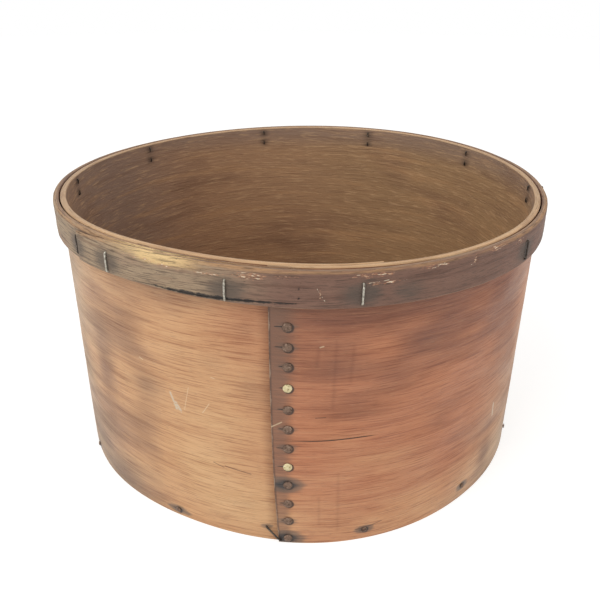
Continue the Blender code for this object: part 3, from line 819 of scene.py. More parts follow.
def shellacked_ash(sizes, heads_at):
    """Steam-bent ash sheet, scraped, shellacked and handled for a hundred years.

    The shellac has gone golden to red-brown and wears thin in places; the ash shows long level
    grain, short dark pores and light flecks, and goes grey-black round rusting iron. Painted
    highlight and painted shade, low at the front and under the hoop, are laid into its tone.
    """
    material, tree, shader = new_material("bent_ash_shellacked", IOR=1.5, Roughness=0.52)
    sheet = add_node(tree, "ShaderNodeUVMap", uv_map="sheet").outputs[0]
    russet, worn, tone, grime, iron, crack, end, beside = (
        add_node(tree, "ShaderNodeAttribute", attribute_name=name).outputs["Fac"]
        for name in WALL_FIELDS
    )
    coords = sheet_coords(tree)
    blotch = grain(tree, coords, 60.0, 24.0, 11.0, detail=4.0)
    streaks = grain(tree, coords, 90.0, 7.0, 2.0, detail=4.0)
    lines = grain(tree, coords, 44.0, 2.0, 5.0, detail=4.0)
    # ash pores are about a quarter of a millimetre wide, too fine to show: hairs, pores and
    # flecks are drawn three times as wide
    hairs = grain(tree, coords, 32.0, 0.9, 8.0)
    pores = grain(tree, coords, 6.5, 0.75, 14.0, detail=1.0)
    flecks = grain(tree, coords, 7.0, 0.9, 21.0, detail=1.0)
    rubs = grain(tree, coords, 30.0, 11.0, 27.0, detail=4.0)
    tone = ragged(tree, tone, streaks, 0.08)
    wood = coats(tree, sizes.golden, (
        (sizes.pale, ragged(tree, worn, blotch, 0.40), 0.1, 0.9, 1.0),
        (sizes.russet, ragged(tree, russet, blotch, 0.22), 0.1, 0.9, 1.0),
        # tone: the shellac's own lighter and duller places, with painted highlight and painted shade
        # among them
        ("b8b2ba", tone, 0.52, 0.05, 1.0, "MULTIPLY"),
        ("7a6040", tone, 0.48, 0.95, 0.9, "SCREEN"),
        ("c7a892", streaks, 0.52, 0.28, 0.30, "MULTIPLY"),
        ("452f1c", streaks, 0.52, 0.74, 0.5, "SCREEN"),
        ("b5937e", lines, 0.50, 0.78, 0.32, "MULTIPLY"),
        ("4a3524", lines, 0.48, 0.24, 0.75, "SCREEN"),
        ("a98570", hairs, 0.50, 0.74, 0.52, "MULTIPLY"),
        ("3c2c1c", hairs, 0.48, 0.27, 0.66, "SCREEN"),
        ("6e4a34", pores, 0.64, 0.82, 0.30),
        ("5a452f", flecks, 0.66, 0.80, 0.7, "SCREEN"),
    ))
    for line in WALL_SMUDGES:
        smudge = ragged(tree, mark(tree, sheet, *line), blotch, 0.6)
        wood = laid_over(tree, wood, colour("9a7766"), smudge, 0.1, 1.3, 0.26, "MULTIPLY")
    iron = ragged(tree, iron, lines, 0.16)
    wood = coats(tree, wood, (
        # darkening at the seam and the foot, with painted shade under the hoop, from the grime field
        ("715545", ragged(tree, grime, lines, 0.22), 0.1, 0.95, 0.80),
        ("66574b", iron, 0.12, 0.42, 0.70),
        ("2e2d2e", iron, 0.40, 0.92, 0.88),
        # the sheet's end: a darker band behind it, a pale strip at its very end that is a painted
        # highlight of the lit end face, and a dark joint beside it
        ("3f2e25", end, 1.9, 0.6, 0.60),
        ("ab927b", ragged(tree, end, rubs, 1.6), 0.5, 0.0, 0.62),
        ("a0816c", beside, 9.0, 0.0, 0.5, "MULTIPLY"),
        ("3a2a21", beside, 0.7, 0.2, 0.7),
        # painted shadow round the tack and nail heads
        ("33261f", painted_head_shadows(tree, sheet, heads_at), 0.0, 1.0, 0.85),
    ))
    for line in WALL_BLOTS:
        chalky = ragged(tree, mark(tree, sheet, *line), hairs, 0.7)
        wood = laid_over(tree, wood, colour("d2c8b2"), chalky, 0.45, 1.0, 0.78)
    for line in WALL_SCRATCHES:
        wood = laid_over(tree, wood, colour("e3cda9"), mark(tree, sheet, *line), 0.1, 1.0, 0.62)
    for line in WALL_CHECKS:
        wood = laid_over(tree, wood, colour("4a3022"), mark(tree, sheet, *line), 0.0, 0.8, 0.7)
    wood = laid_over(tree, wood, colour("1b120d"), crack, 0.03, 0.5, 1.0)
    tree.links.new(wood, shader.inputs["Base Color"])
    gloss = add_node(
        tree, "ShaderNodeMapRange",
        {"Value": blotch, "From Min": 0.3, "From Max": 0.7, "To Min": 0.44, "To Max": 0.62},
    )
    tree.links.new(gloss.outputs[0], shader.inputs["Roughness"])
    pressed(tree, shader, ((lines, 0.45), (hairs, 0.35), (pores, -0.8)), 0.35)
    return material


def bare_ash(sizes):
    """The same ash sheet's inner side, planed and left bare.

    Bare wood browns evenly and stays dull; the plane left short light tears along the grain, and
    the band near the rim is greyer.
    """
    material, tree, shader = new_material("bent_ash_bare", IOR=1.5, Roughness=0.7)
    russet, worn, grime, iron = (
        add_node(tree, "ShaderNodeAttribute", attribute_name=name).outputs["Fac"]
        for name in ("russet", "worn", "grime", "iron")
    )
    coords = sheet_coords(tree)
    bands = grain(tree, coords, 150.0, 13.0, 31.0, detail=3.0)
    blotch = grain(tree, coords, 110.0, 60.0, 47.0, detail=2.0)
    lines = grain(tree, coords, 48.0, 2.0, 35.0, slope=2.0)
    # the plane's tears, the rays and the pores are finer on the wood: they are drawn about three
    # times as wide so that they show
    tears = grain(tree, coords, 26.0, 2.4, 38.0, detail=2.0, slope=-4.0)
    rays = grain(tree, coords, 15.0, 1.6, 44.0, detail=1.0, slope=7.0)
    pores = grain(tree, coords, 8.0, 0.9, 41.0)
    wood = coats(tree, sizes.inside, (
        ("a4825c", russet, 0.0, 1.0, 0.9),
        # greyer towards the rim and on the left
        ("917a6c", worn, 0.0, 1.0, 0.85),
        ("83604a", blotch, 0.5, 0.75, 0.45),
        ("c79a6c", bands, 0.52, 0.75, 0.4),
        ("7c5c44", bands, 0.48, 0.25, 0.35),
        ("7a5a44", lines, 0.55, 0.75, 0.4),
        (sizes.inside_light, tears, 0.55, 0.78, 0.40),
        (sizes.inside_light, rays, 0.60, 0.80, 0.36),
        ("5c4333", pores, 0.66, 0.80, 0.4),
        ("6c5546", ragged(tree, grime, lines, 0.2), 0.1, 0.95, 0.7),
        ("3a2f28", ragged(tree, iron, lines, 0.2), 0.10, 0.8, 0.75),
    ))
    tree.links.new(wood, shader.inputs["Base Color"])
    pressed(tree, shader, ((lines, 0.5), (tears, 0.6), (pores, -0.6)), 0.4)
    return material


def cut_ash(sizes):
    """The ash sheet's cut edge, rubbed bare by hands.

    The edge was sawn and never sealed: it is the palest wood of the box, with the sheet's grain
    showing as fine lines along it and dirt caught in the lowest of them.
    """
    material, tree, shader = new_material("ash_edge_rubbed", IOR=1.5, Roughness=0.6)
    sheet = add_node(tree, "ShaderNodeUVMap", uv_map="sheet").outputs[0]
    worn, grime = (
        add_node(tree, "ShaderNodeAttribute", attribute_name=name).outputs["Fac"]
        for name in ("worn", "grime")
    )
    # growth layers and pores on the edge are drawn at about twice their real width
    layers = grain(tree, sheet, 70.0, 0.8, 51.0)
    fine = grain(tree, sheet, 18.0, 0.5, 54.0)
    patches = grain(tree, sheet, 38.0, 8.0, 57.0)
    wood = coats(tree, sizes.edge, (
        ("9e6f48", layers, 0.52, 0.72, 0.6),
        ("efcf9f", layers, 0.45, 0.25, 0.4),
        ("a08a72", worn, 0.4, 1.0, 0.55),
        ("5b4231", fine, 0.60, 0.74, 0.7),
        ("9c7350", patches, 0.52, 0.78, 0.45),
        ("6e503a", ragged(tree, grime, patches, 0.3), 0.1, 0.95, 0.6),
    ))
    tree.links.new(wood, shader.inputs["Base Color"])
    pressed(tree, shader, ((layers, 0.6), (fine, 0.4)), 0.3)
    return material


def weathered_ash(sizes):
    """Bent ash hoop, never sealed, weathered grey-brown.

    The open grain holds black grime between raised silvery ridges; hands and lids have rubbed the
    upper corner down to fresh yellow wood with pale splinters, and iron has blackened the wood
    round each staple, with painted shadow close along each crown. The slit along the lower edge
    holds painted shade.
    """
    material, tree, shader = new_material("ash_hoop_weathered", IOR=1.5, Roughness=0.68)
    sheet = add_node(tree, "ShaderNodeUVMap", uv_map="sheet").outputs[0]
    worn, chip, silvered, newest, iron, hole, slit = (
        add_node(tree, "ShaderNodeAttribute", attribute_name=name).outputs["Fac"]
        for name in HOOP_FIELDS
    )
    coords = sheet_coords(tree)
    bands = grain(tree, coords, 70.0, 4.5, 61.0, detail=4.0)
    blotch = grain(tree, coords, 38.0, 15.0, 73.0, detail=4.0)
    # the open grain and its splinters are about 0.3 mm wide on the wood, and are drawn two to
    # three times as wide so that they show
    ridges = grain(tree, coords, 24.0, 1.0, 64.0, detail=3.0)
    hairs = grain(tree, coords, 9.0, 0.7, 67.0)
    specks = grain(tree, coords, 2.6, 1.1, 70.0)
    splinters = grain(tree, coords, 4.6, 0.8, 77.0, detail=3.0)
    fresh = laid_over(tree, colour("b4895f"), sizes.worn, newest, 0.0, 0.9, 1.0)
    # the open grain gapes widest where the face has silvered and worn
    gaping = add_node(
        tree, "ShaderNodeMath", {0: silvered, 1: 0.07, 2: ridges}, operation="MULTIPLY_ADD"
    ).outputs[0]
    iron = ragged(tree, iron, hairs, 0.16)
    chips = ragged(tree, chip, splinters, 1.0)
    wood = coats(tree, sizes.weathered, (
        (sizes.grey, ragged(tree, silvered, blotch, 0.30), 0.1, 0.9, 1.0),
        ("4d3a2c", bands, 0.52, 0.76, 0.35, "SCREEN"),
        ("a58a7a", bands, 0.48, 0.26, 0.55, "MULTIPLY"),
        ("8a6455", blotch, 0.5, 0.76, 0.35),
        (fresh, ragged(tree, worn, ridges, 0.55), 0.15, 0.85, 0.95),
        (sizes.dark, gaping, 0.57, 0.72, 0.62),
        ("3a2a1e", ridges, 0.44, 0.25, 0.5, "SCREEN"),
        (sizes.dark, hairs, 0.56, 0.72, 0.46),
        # iron stain round the staples, with painted shadow close along each crown
        ("554a41", iron, 0.10, 0.60, 0.8),
        ("26221f", iron, 0.62, 1.0, 0.85),
        ("33261e", specks, 0.68, 0.80, 0.55),
        ("bf845e", chips, 0.92, 1.14, 0.75),
        (sizes.chip, chips, 1.12, 1.28, 0.9),
        ("191310", hole, 0.2, 0.8, 0.95),
        # painted shade in the slit under the lifted outer layer
        ("1c1612", ragged(tree, slit, specks, 0.30), 0.22, 0.62, 0.95),
    ))
    for line in HOOP_SCRATCHES:
        scratch = ragged(tree, mark(tree, sheet, *line), specks, 0.9)
        wood = laid_over(tree, wood, sizes.chip, scratch, 0.70, 1.10, 0.85)
    tree.links.new(wood, shader.inputs["Base Color"])
    pressed(tree, shader, ((ridges, 0.7), (hairs, 0.4), (specks, -0.3)), 0.6)
    return material


def hoop_edge(sizes):
    """The hoop's upper and lower edge, worn and grimy.

    The hoop's layers show as dark and light lines along it, browned by dirt where the wall's own
    edge beside it is rubbed clean.
    """
    material, tree, shader = new_material("ash_hoop_edge", IOR=1.5, Roughness=0.65)
    sheet = add_node(tree, "ShaderNodeUVMap", uv_map="sheet").outputs[0]
    worn, chip = (
        add_node(tree, "ShaderNodeAttribute", attribute_name=name).outputs["Fac"]
        for name in ("worn", "chip")
    )
    # layers and pores on the edge are drawn at about twice their real width
    layers = grain(tree, sheet, 60.0, 0.9, 81.0)
    fine = grain(tree, sheet, 16.0, 0.6, 84.0)
    patches = grain(tree, sheet, 32.0, 6.0, 87.0)
    wood = coats(tree, colour("8f6f58"), (
        ("bd9670", worn, 0.1, 0.9, 0.9),
        ("5d4635", layers, 0.5, 0.66, 0.8),
        ("b99c7a", layers, 0.42, 0.25, 0.5),
        ("33261e", fine, 0.58, 0.72, 0.7),
        ("6d5342", patches, 0.5, 0.72, 0.5),
        (sizes.chip, ragged(tree, chip, fine, 1.0), 1.15, 1.35, 0.8),
    ))
    tree.links.new(wood, shader.inputs["Base Color"])
    pressed(tree, shader, ((layers, 0.7), (fine, 0.4)), 0.4)
    return material


def sawn_pine(sizes):
    """One wide pine board, sawn and planed, browned and dusty.

    The saw cut across the rings, so wide arches of dark late wood run down the board; the dust of
    years lies thickest near its edge.
    """
    material, tree, shader = new_material("pine_board_sawn", IOR=1.5, Roughness=0.72)
    place = add_node(tree, "ShaderNodeTexCoord").outputs["Object"]
    grime = add_node(tree, "ShaderNodeAttribute", attribute_name="grime").outputs["Fac"]
    bend = grain(tree, place, 240.0, 90.0, 91.0, detail=1.0)
    arch = add_node(
        tree, "ShaderNodeMapping",
        {"Vector": place, "Location": (0.026, 0.022, 0.0), "Scale": (0.07, 1.0, 1.0)},
    ).outputs[0]
    from_heart = add_node(tree, "ShaderNodeVectorMath", {0: arch}, operation="LENGTH")
    rings = add_node(
        tree, "ShaderNodeMath", {0: bend, 1: 0.020, 2: from_heart.outputs["Value"]},
        operation="MULTIPLY_ADD",
    ).outputs[0]
    # a ring every 5 mm, darkest at its end
    saw = add_node(tree, "ShaderNodeMath", {0: rings, 1: 5.0 * MM}, operation="MODULO").outputs[0]
    # resin lines and pores are drawn about three times as wide as they are
    fine = grain(tree, place, 30.0, 1.0, 94.0)
    pores = grain(tree, place, 9.0, 0.9, 97.0)
    blotch = grain(tree, place, 90.0, 70.0, 101.0, detail=3.0)
    wood = coats(tree, sizes.early, (
        (sizes.late, saw, 2.2 * MM, 4.7 * MM, 0.75),
        ("c39c74", fine, 0.42, 0.25, 0.35),
        ("5f4230", fine, 0.55, 0.72, 0.45),
        ("4a3527", pores, 0.66, 0.78, 0.5),
        ("7a5c45", blotch, 0.45, 0.75, 0.5),
        (sizes.grime, ragged(tree, grime, blotch, 0.35), 0.15, 0.95, 0.75),
    ))
    for line in BOARD_SPLITS:
        wood = laid_over(tree, wood, colour("1f1610"), mark(tree, place, *line), 0.0, 0.5, 0.95)
    tree.links.new(wood, shader.inputs["Base Color"])
    pressed(tree, shader, ((saw, 120.0), (fine, 0.5), (pores, -0.5)), 0.35)
    return material


def worn_metal(name, base, hollow, rubbed, rust, **finish):
    """A metal with darker hollows, lighter rubbed spots and patches of rust.

    Pits in old scale are a few tenths of a millimetre wide, too fine to show on a head 6 mm
    across, so they are drawn 1.6 mm wide, and the rust in patches of 4 mm.
    """
    material, tree, shader = new_material(name, **finish)
    place = add_node(tree, "ShaderNodeTexCoord").outputs["Object"]
    pits = add_node(
        tree, "ShaderNodeTexNoise",
        {"Vector": place, "Scale": 1.0 / (1.6 * MM), "Detail": 3.0, "Roughness": 0.65},
    ).outputs[0]
    patches = add_node(
        tree, "ShaderNodeTexNoise",
        {"Vector": place, "Scale": 1.0 / (4.0 * MM), "Detail": 2.0, "Roughness": 0.6},
    ).outputs[0]
    metal = coats(tree, base, (
        (rust, patches, 0.5, 0.68, 0.7),
        (hollow, pits, 0.5, 0.3, 0.8),
        (rubbed, pits, 0.56, 0.72, 0.8),
    ))
    tree.links.new(metal, shader.inputs["Base Color"])
    rough = add_node(
        tree, "ShaderNodeMapRange",
        {"Value": pits, "From Min": 0.35, "From Max": 0.7, "To Min": 0.75, "To Max": 0.38},
    )
    tree.links.new(rough.outputs[0], shader.inputs["Roughness"])
    pressed(tree, shader, ((pits, 1.0), (patches, 0.5)), 0.25)
    return material


def rusted_iron(sizes):
    """Cut iron, rusted brown and rubbed: dull, with black scale in pits and grey high spots."""
    return worn_metal(
        "iron_rusted", sizes.iron, sizes.iron_dark, sizes.iron_rubbed, "4c3226", Metallic=0.45
    )


def tarnished_brass(sizes):
    """Turned brass heads, tarnished pale: a soft ivory shine with brown in the pits."""
    return worn_metal(
        "brass_tarnished", sizes.brass, "8d7a52", "efe8cd", "b9a878", Metallic=0.55
    )


def drawn_steel(sizes, bright):
    """Drawn steel wire: black-brown where it rusted, silvery where it is still bare."""
    if bright:
        return worn_metal(
            "steel_wire_bare", sizes.steel, "4a443d", "e6e0d2", "7a6c5a", Metallic=0.75
        )
    return worn_metal(
        "steel_wire_rusted", colour("4a413a"), "2a2522", "8a7f74", "46352b", Metallic=0.6
    )


class HATBOX_OT_add_wall(Operator):
    """Bends the tall sheet of the wall round the box and laps it at the front"""

    bl_idname = "hat_box.add_wall"
    bl_label = "Add Wall"

    def execute(self, context):
        scene = context.scene
        box = Box(scene)
        sizes, board, metal = scene.hat_box_wall, scene.hat_box_board, scene.hat_box_fasteners
        row_bearing, row = box.seam_row(metal, board)
        hoop_foot = sizes.height - scene.hat_box_hoop.height
        start, end = sizes.outer_end, box.wall.inner_end + tau
        # a column every millimetre beside the outer end, for its chips and the splits
        lap_columns = np.arange(0.0, 22.0, 1.0) * MM / box.radius + start
        columns = np.concatenate([lap_columns, np.linspace(lap_columns[-1], end, WALL_COLUMNS)[1:]])
        rim = box.rim(columns)
        at_seam = box.rim(row_bearing)
        crack_rise = np.interp(np.degrees(columns), CRACK_BEARINGS, CRACK_RISE) * MM
        special = [height + step for height in row for step in (-0.45 * MM, 0.0, 0.45 * MM)]
        special += [CRACK_HEIGHT + step for step in (-0.5 * MM, 0.0, 0.5 * MM)]
        plain = [
            h for h in np.linspace(3.0 * MM, at_seam - 3.2 * MM, WALL_ROWS)
            if min(abs(h - other) for other in special) > 0.9 * MM
        ]
        heights = sorted(special + plain)
        near_crack = [np.exp(-(((h - CRACK_HEIGHT) / (9.0 * MM)) ** 2)) for h in heights]
        rows = [h / at_seam * rim + crack_rise * near for h, near in zip(heights, near_crack)]
        flat = np.zeros_like(rim)
        inset, height, kinds = half_section(
            flat, rim, rows, (0.5 * MM, 0.5 * MM), (0.7 * MM, 0.7 * MM)
        )
        crack_row = FOOT_ROWS + heights.index(CRACK_HEIGHT)
        split_rows = [FOOT_ROWS + heights.index(h) for h in row]

        def crack_share(along):
            """How open the crack and the splits are at each row and column."""
            share = np.zeros(np.broadcast(along, height).shape)
            share[crack_row] = np.interp(np.degrees(along[crack_row]), CRACK_BEARINGS, CRACK_OPEN)
            for number, at in enumerate(split_rows):
                from_end = (along[at] - start) * box.radius
                tip = metal.tack_edge - metal.tack_radius - SPLIT_LENGTHS[number] * MM
                opened = clamp((from_end - tip) / (1.5 * MM))
                share[at] = 0.85 * opened * clamp((metal.tack_edge - from_end) / (1.0 * MM))
            return share

        def outer_relief(along, height, distance):
            hollow = 0.35 * MM * mottle(1, distance, height, 55.0 * MM, 24.0 * MM)
            hollow = hollow + 0.10 * MM * mottle(2, distance, height, 30.0 * MM, 4.5 * MM)
            end_chips = ease(1.0 - distance / (1.6 * MM)) * wander(3, height, 6.0 * MM)
            return hollow + 0.5 * MM * crack_share(along) + 0.5 * MM * end_chips

        def inner_relief(along, height, distance):
            hollow = 0.25 * MM * mottle(4, distance, height, 60.0 * MM, 30.0 * MM)
            return hollow + 0.12 * MM * mottle(5, distance, height, 22.0 * MM, 3.5 * MM)

        tacks = [
            (row_bearing - 0.008 * stain, h, (3.6 + 2.0 * stain) * MM, 1.15 * stain)
            for h, stain in zip(row, TACK_STAINS)
        ]
        nails = [(b, h, 3.2 * MM, 1.0) for b, h in box.board_nails(board)]
        staples = [
            (b, box.rim(b) - box.hoop_sizes.height, 4.5 * MM, 0.3 + 0.2 * drop)
            for b, _, drop in box.rim_staples(metal)
        ]
        points_inside = [
            (b, h + side * 4.6 * MM, 5.4 * MM, 0.62)
            for b, h, _ in box.rim_staples(metal) for side in (-1.0, 1.0)
        ]

        def outer_fields(along, height, distance):
            turn = np.degrees(along - start)
            russet = np.interp(turn, RUSSET_TURNS, RUSSET_SHARES)
            pale = np.interp(turn, PALE_TURNS, PALE_SHARES)
            share = height / sizes.height
            # redder and darker towards the top and paler towards the foot: partly the shellac's own
            # colour, partly painted shade under the hoop and painted light bounced up from the floor
            russet = russet - 0.30 * ease(1.0 - share / 0.35) + 0.20 * (share - 0.45)
            russet = russet + 0.25 * (mottle(6, distance, height, 90.0 * MM, 60.0 * MM) - 0.5)
            pale = pale + 0.25 * ease(1.0 - share / 0.25)
            pale = pale + 0.4 * (mottle(7, distance, height, 70.0 * MM, 22.0 * MM) - 0.5)
            tone = 0.5 + 0.30 * (mottle(8, distance, height, 62.0 * MM, 30.0 * MM) - 0.5)
            tone = tone + 0.16 * (mottle(9, distance, height, 24.0 * MM, 9.0 * MM) - 0.5)
            # the shellac's own tone, with painted highlight and painted shade from TONE_PLACES
            for *place, amount in TONE_PLACES:
                off = off_centre(along, height, box.radius, *place)
                tone = tone + amount * np.exp(-(off ** 2))
            from_end = (columns - start) * box.radius / MM + 0.0 * height
            past_end = (box.wall.outer_end(height) + tau - along) * box.radius / MM
            seam = ease(1.0 - (from_end - 6.0) / (7.0 + 16.0 * share)) * (0.62 + 0.30 * share)
            # painted shade on the wall under the hoop, carried in the grime field
            painted_hoop_shade = ease(1.0 - (hoop_foot - height) / (9.0 * MM)) * 0.34
            foot = ease(1.0 - height / (4.0 * MM)) * 0.25
            heads = stain_round(along, height, tacks, box.radius, 2.0)
            # the heads stain only the layer that they sit on
            heads = np.where(along < start + 1.0, heads, 0.0)
            others = nails + metric(WALL_STAINS) + staples
            iron = stain_round(along, height, others, box.radius, 2.0)
            iron = np.where(along > start + tau, 0.0, np.maximum(heads, iron))
            return {
                "russet": clamp(russet), "worn": clamp(pale), "tone": clamp(tone),
                "grime": np.maximum.reduce([seam, painted_hoop_shade, foot]), "iron": iron,
                "crack": crack_share(along), "end": np.clip(from_end, 0.0, 50.0),
                "beside": np.clip(past_end, 0.0, 50.0),
            }

        def inner_fields(along, height, distance):
            olive = np.interp(
                np.degrees(turn_between(along, 0.0)),
                (-180, -120, -60, 60, 110, 150, 180), (0.5, 0.1, 0, 0.6, 1, 0.9, 0.5),
            )
            rim_band = ease(1.0 - (sizes.height - height) / (30.0 * MM))
            left = ease(1.0 - np.abs(turn_between(along, radians(-105.0))) / radians(55.0))
            grey = np.maximum(rim_band * 0.8, 0.9 * left)
            foot = ease(1.0 - (height - board.thickness) / (9.0 * MM)) * 0.8
            iron = stain_round(along, height, points_inside, box.radius, 1.3)
            clinches = [(row_bearing, h + 2.0 * MM, 3.0 * MM, 0.8) for h in row[:-1]]
            iron = np.maximum(iron, stain_round(along, height, clinches, box.radius, 1.4))
            return dict.fromkeys(WALL_FIELDS, np.zeros_like(height)) | {
                "russet": clamp(olive), "worn": grey, "grime": foot, "iron": iron,
            }

        mesh = bent_mesh(
            "wall_sheet", box, box.wall, columns, (inset, inset, height, kinds),
            (outer_relief, inner_relief), (outer_fields, inner_fields),
        )
        heads_at = [(metal.tack_edge, h, metal.tack_radius) for h in row]
        heads_at += [
            ((b - start) % tau * box.radius, h, metal.nail_radius)
            for b, h in box.board_nails(board)
        ]
        materials = [shellacked_ash(sizes, heads_at), cut_ash(sizes), bare_ash(sizes)]
        add_piece("wall_sheet", mesh, ["wall_band"], materials)
        return {"FINISHED"}


class HATBOX_OT_add_hoop(Operator):
    """Bends the hoop round the rim, with its worn and chipped upper corner"""

    bl_idname = "hat_box.add_hoop"
    bl_label = "Add Hoop"

    def execute(self, context):
        scene = context.scene
        box = Box(scene)
        sizes, metal = scene.hat_box_hoop, scene.hat_box_fasteners
        columns = np.linspace(sizes.outer_end, box.hoop.inner_end + tau, HOOP_COLUMNS)
        distance = (columns - sizes.outer_end) * box.radius
        droop = 1.0 - ease(distance / sizes.tip_reach)
        bottom = box.rim(columns) - sizes.height
        top = box.rim(columns) - sizes.tip_drop * droop
        slit = bottom + np.interp(np.degrees(columns), SLIT_BEARINGS, SLIT_RISE) * MM
        slit_open = np.interp(np.degrees(columns), SLIT_BEARINGS, SLIT_OPEN)
        slit_open = slit_open * (0.7 + 0.6 * wander(18, distance, 2.5 * MM))
        rows = [slit - 0.35 * MM, slit, slit + 0.35 * MM]
        rows += [bottom + (top - bottom) * share for share in np.linspace(0.18, 0.80, HOOP_ROWS)]
        front_left = ease(1.0 - np.abs(turn_between(columns, radians(-26.0))) / radians(34.0))
        rubbed = 0.25 + 0.45 * wander(11, distance, 45.0 * MM) + 0.5 * front_left
        reach_in = (0.9 + 1.5 * rubbed) * MM
        reach_down = (1.3 + 2.1 * rubbed) * MM
        inset, height, kinds = half_section(
            bottom, top, rows, (0.4 * MM, 0.4 * MM), (reach_in, reach_down)
        )
        inner_inset = half_section(
            bottom, top, rows, (0.4 * MM, 0.4 * MM), (0.5 * MM, reach_down)
        )[0]
        # the worn upper corner looks like the face that it was rubbed from
        corner_rows = len(height) - ROUND_STEPS
        below_rim = (top - height) / (4.0 * MM)

        def chipped(along, height):
            """How chipped the hoop is, from 0 to 1."""
            chips = np.zeros_like(height)
            for place in CHIP_PLACES:
                off = off_centre(along, height, box.radius, *place)
                chips = np.maximum(chips, np.exp(-(off ** 4)))
            return chips

        def outer_relief(along, height, distance):
            hollow = 0.30 * MM * mottle(14, distance, height, 26.0 * MM, 5.0 * MM)
            hollow = hollow + 0.22 * MM * mottle(15, distance, height, 9.0 * MM, 1.7 * MM)
            torn = 0.8 * MM * chipped(along, height) * wander(12, distance, 2.2 * MM) ** 2
            holes = stain_round(along, height, metric(HOOP_HOLES), box.radius, 1.0)
            above = (height - slit) / MM
            lifted = 1.5 * np.exp(-((above / 0.3) ** 2)) + 0.7 * ease(-above / 0.3)
            return hollow + torn + 0.9 * MM * holes + slit_open * lifted * MM

        def inner_relief(along, height, distance):
            return 0.2 * MM * mottle(16, distance, height, 20.0 * MM, 4.0 * MM)

        crowns = [(b, h) for b, h, _ in box.rim_staples(metal)]
        staples = [(b, h, 9.0 * MM, 0.7) for b, h in crowns] + metric(HOOP_STAINS)
        # iron stain and painted shadow of the wire in a dark line along each crown
        wire_stain_and_shadow = [
            (b, h + at * MM, 1.5 * MM, 0.95)
            for b, h in crowns for at in (-6.0, -4.0, -2.0, 0.0, 2.0, 4.0, 6.0)
        ]

        def outer_fields(along, height, distance):
            corner = ease(1.0 - (below_rim - 0.25) / 0.45)
            bright = ease(1.0 - np.abs(turn_between(columns, radians(-28.0))) / radians(16.0))
            patch = (0.22 * front_left + bright) * ease(1.0 - (below_rim - 0.7) / 1.9)
            patch = patch * (0.5 + 0.8 * wander(17, distance, 18.0 * MM))
            worn = np.maximum(corner * (0.30 + 0.5 * rubbed), patch)
            pale = np.interp(
                np.degrees(turn_between(along, 0.0)),
                (-180, -90, -50, -18, -2, 30, 60, 90, 180),
                (0.5, 0.8, 1.0, 0.75, 0.15, 0.0, 0.15, 0.5, 0.5),
            )
            # the slit field lays painted shade along the groove
            slit_width = 0.35 + 0.6 * slit_open
            iron = stain_round(along, height, staples, box.radius, 1.5)
            return {
                "worn": clamp(worn), "chip": chipped(along, height), "pale": pale,
                "fresh": bright + 0.0 * height,
                "iron": np.maximum(iron, stain_round(along, height, wire_stain_and_shadow, box.radius, 0.8)),
                "hole": stain_round(along, height, metric(HOOP_HOLES), box.radius, 1.0),
                "slit": slit_open * np.exp(-(((height - slit) / MM / slit_width) ** 2)),
            }

        def inner_fields(along, height, distance):
            nothing = np.zeros_like(height)
            worn = 0.35 * ease(1.0 - below_rim / 0.5) + nothing
            return dict.fromkeys(HOOP_FIELDS, nothing) | {"worn": worn}

        kinds = kinds[:corner_rows] + [FACE] * (ROUND_STEPS - 1) + [EDGE]
        mesh = bent_mesh(
            "hoop_sheet", box, box.hoop, columns, (inset, inner_inset, height, kinds),
            (outer_relief, inner_relief), (outer_fields, inner_fields),
        )
        face = weathered_ash(sizes)
        add_piece("hoop_sheet", mesh, ["rim_hoop"], [face, hoop_edge(sizes), face])
        return {"FINISHED"}


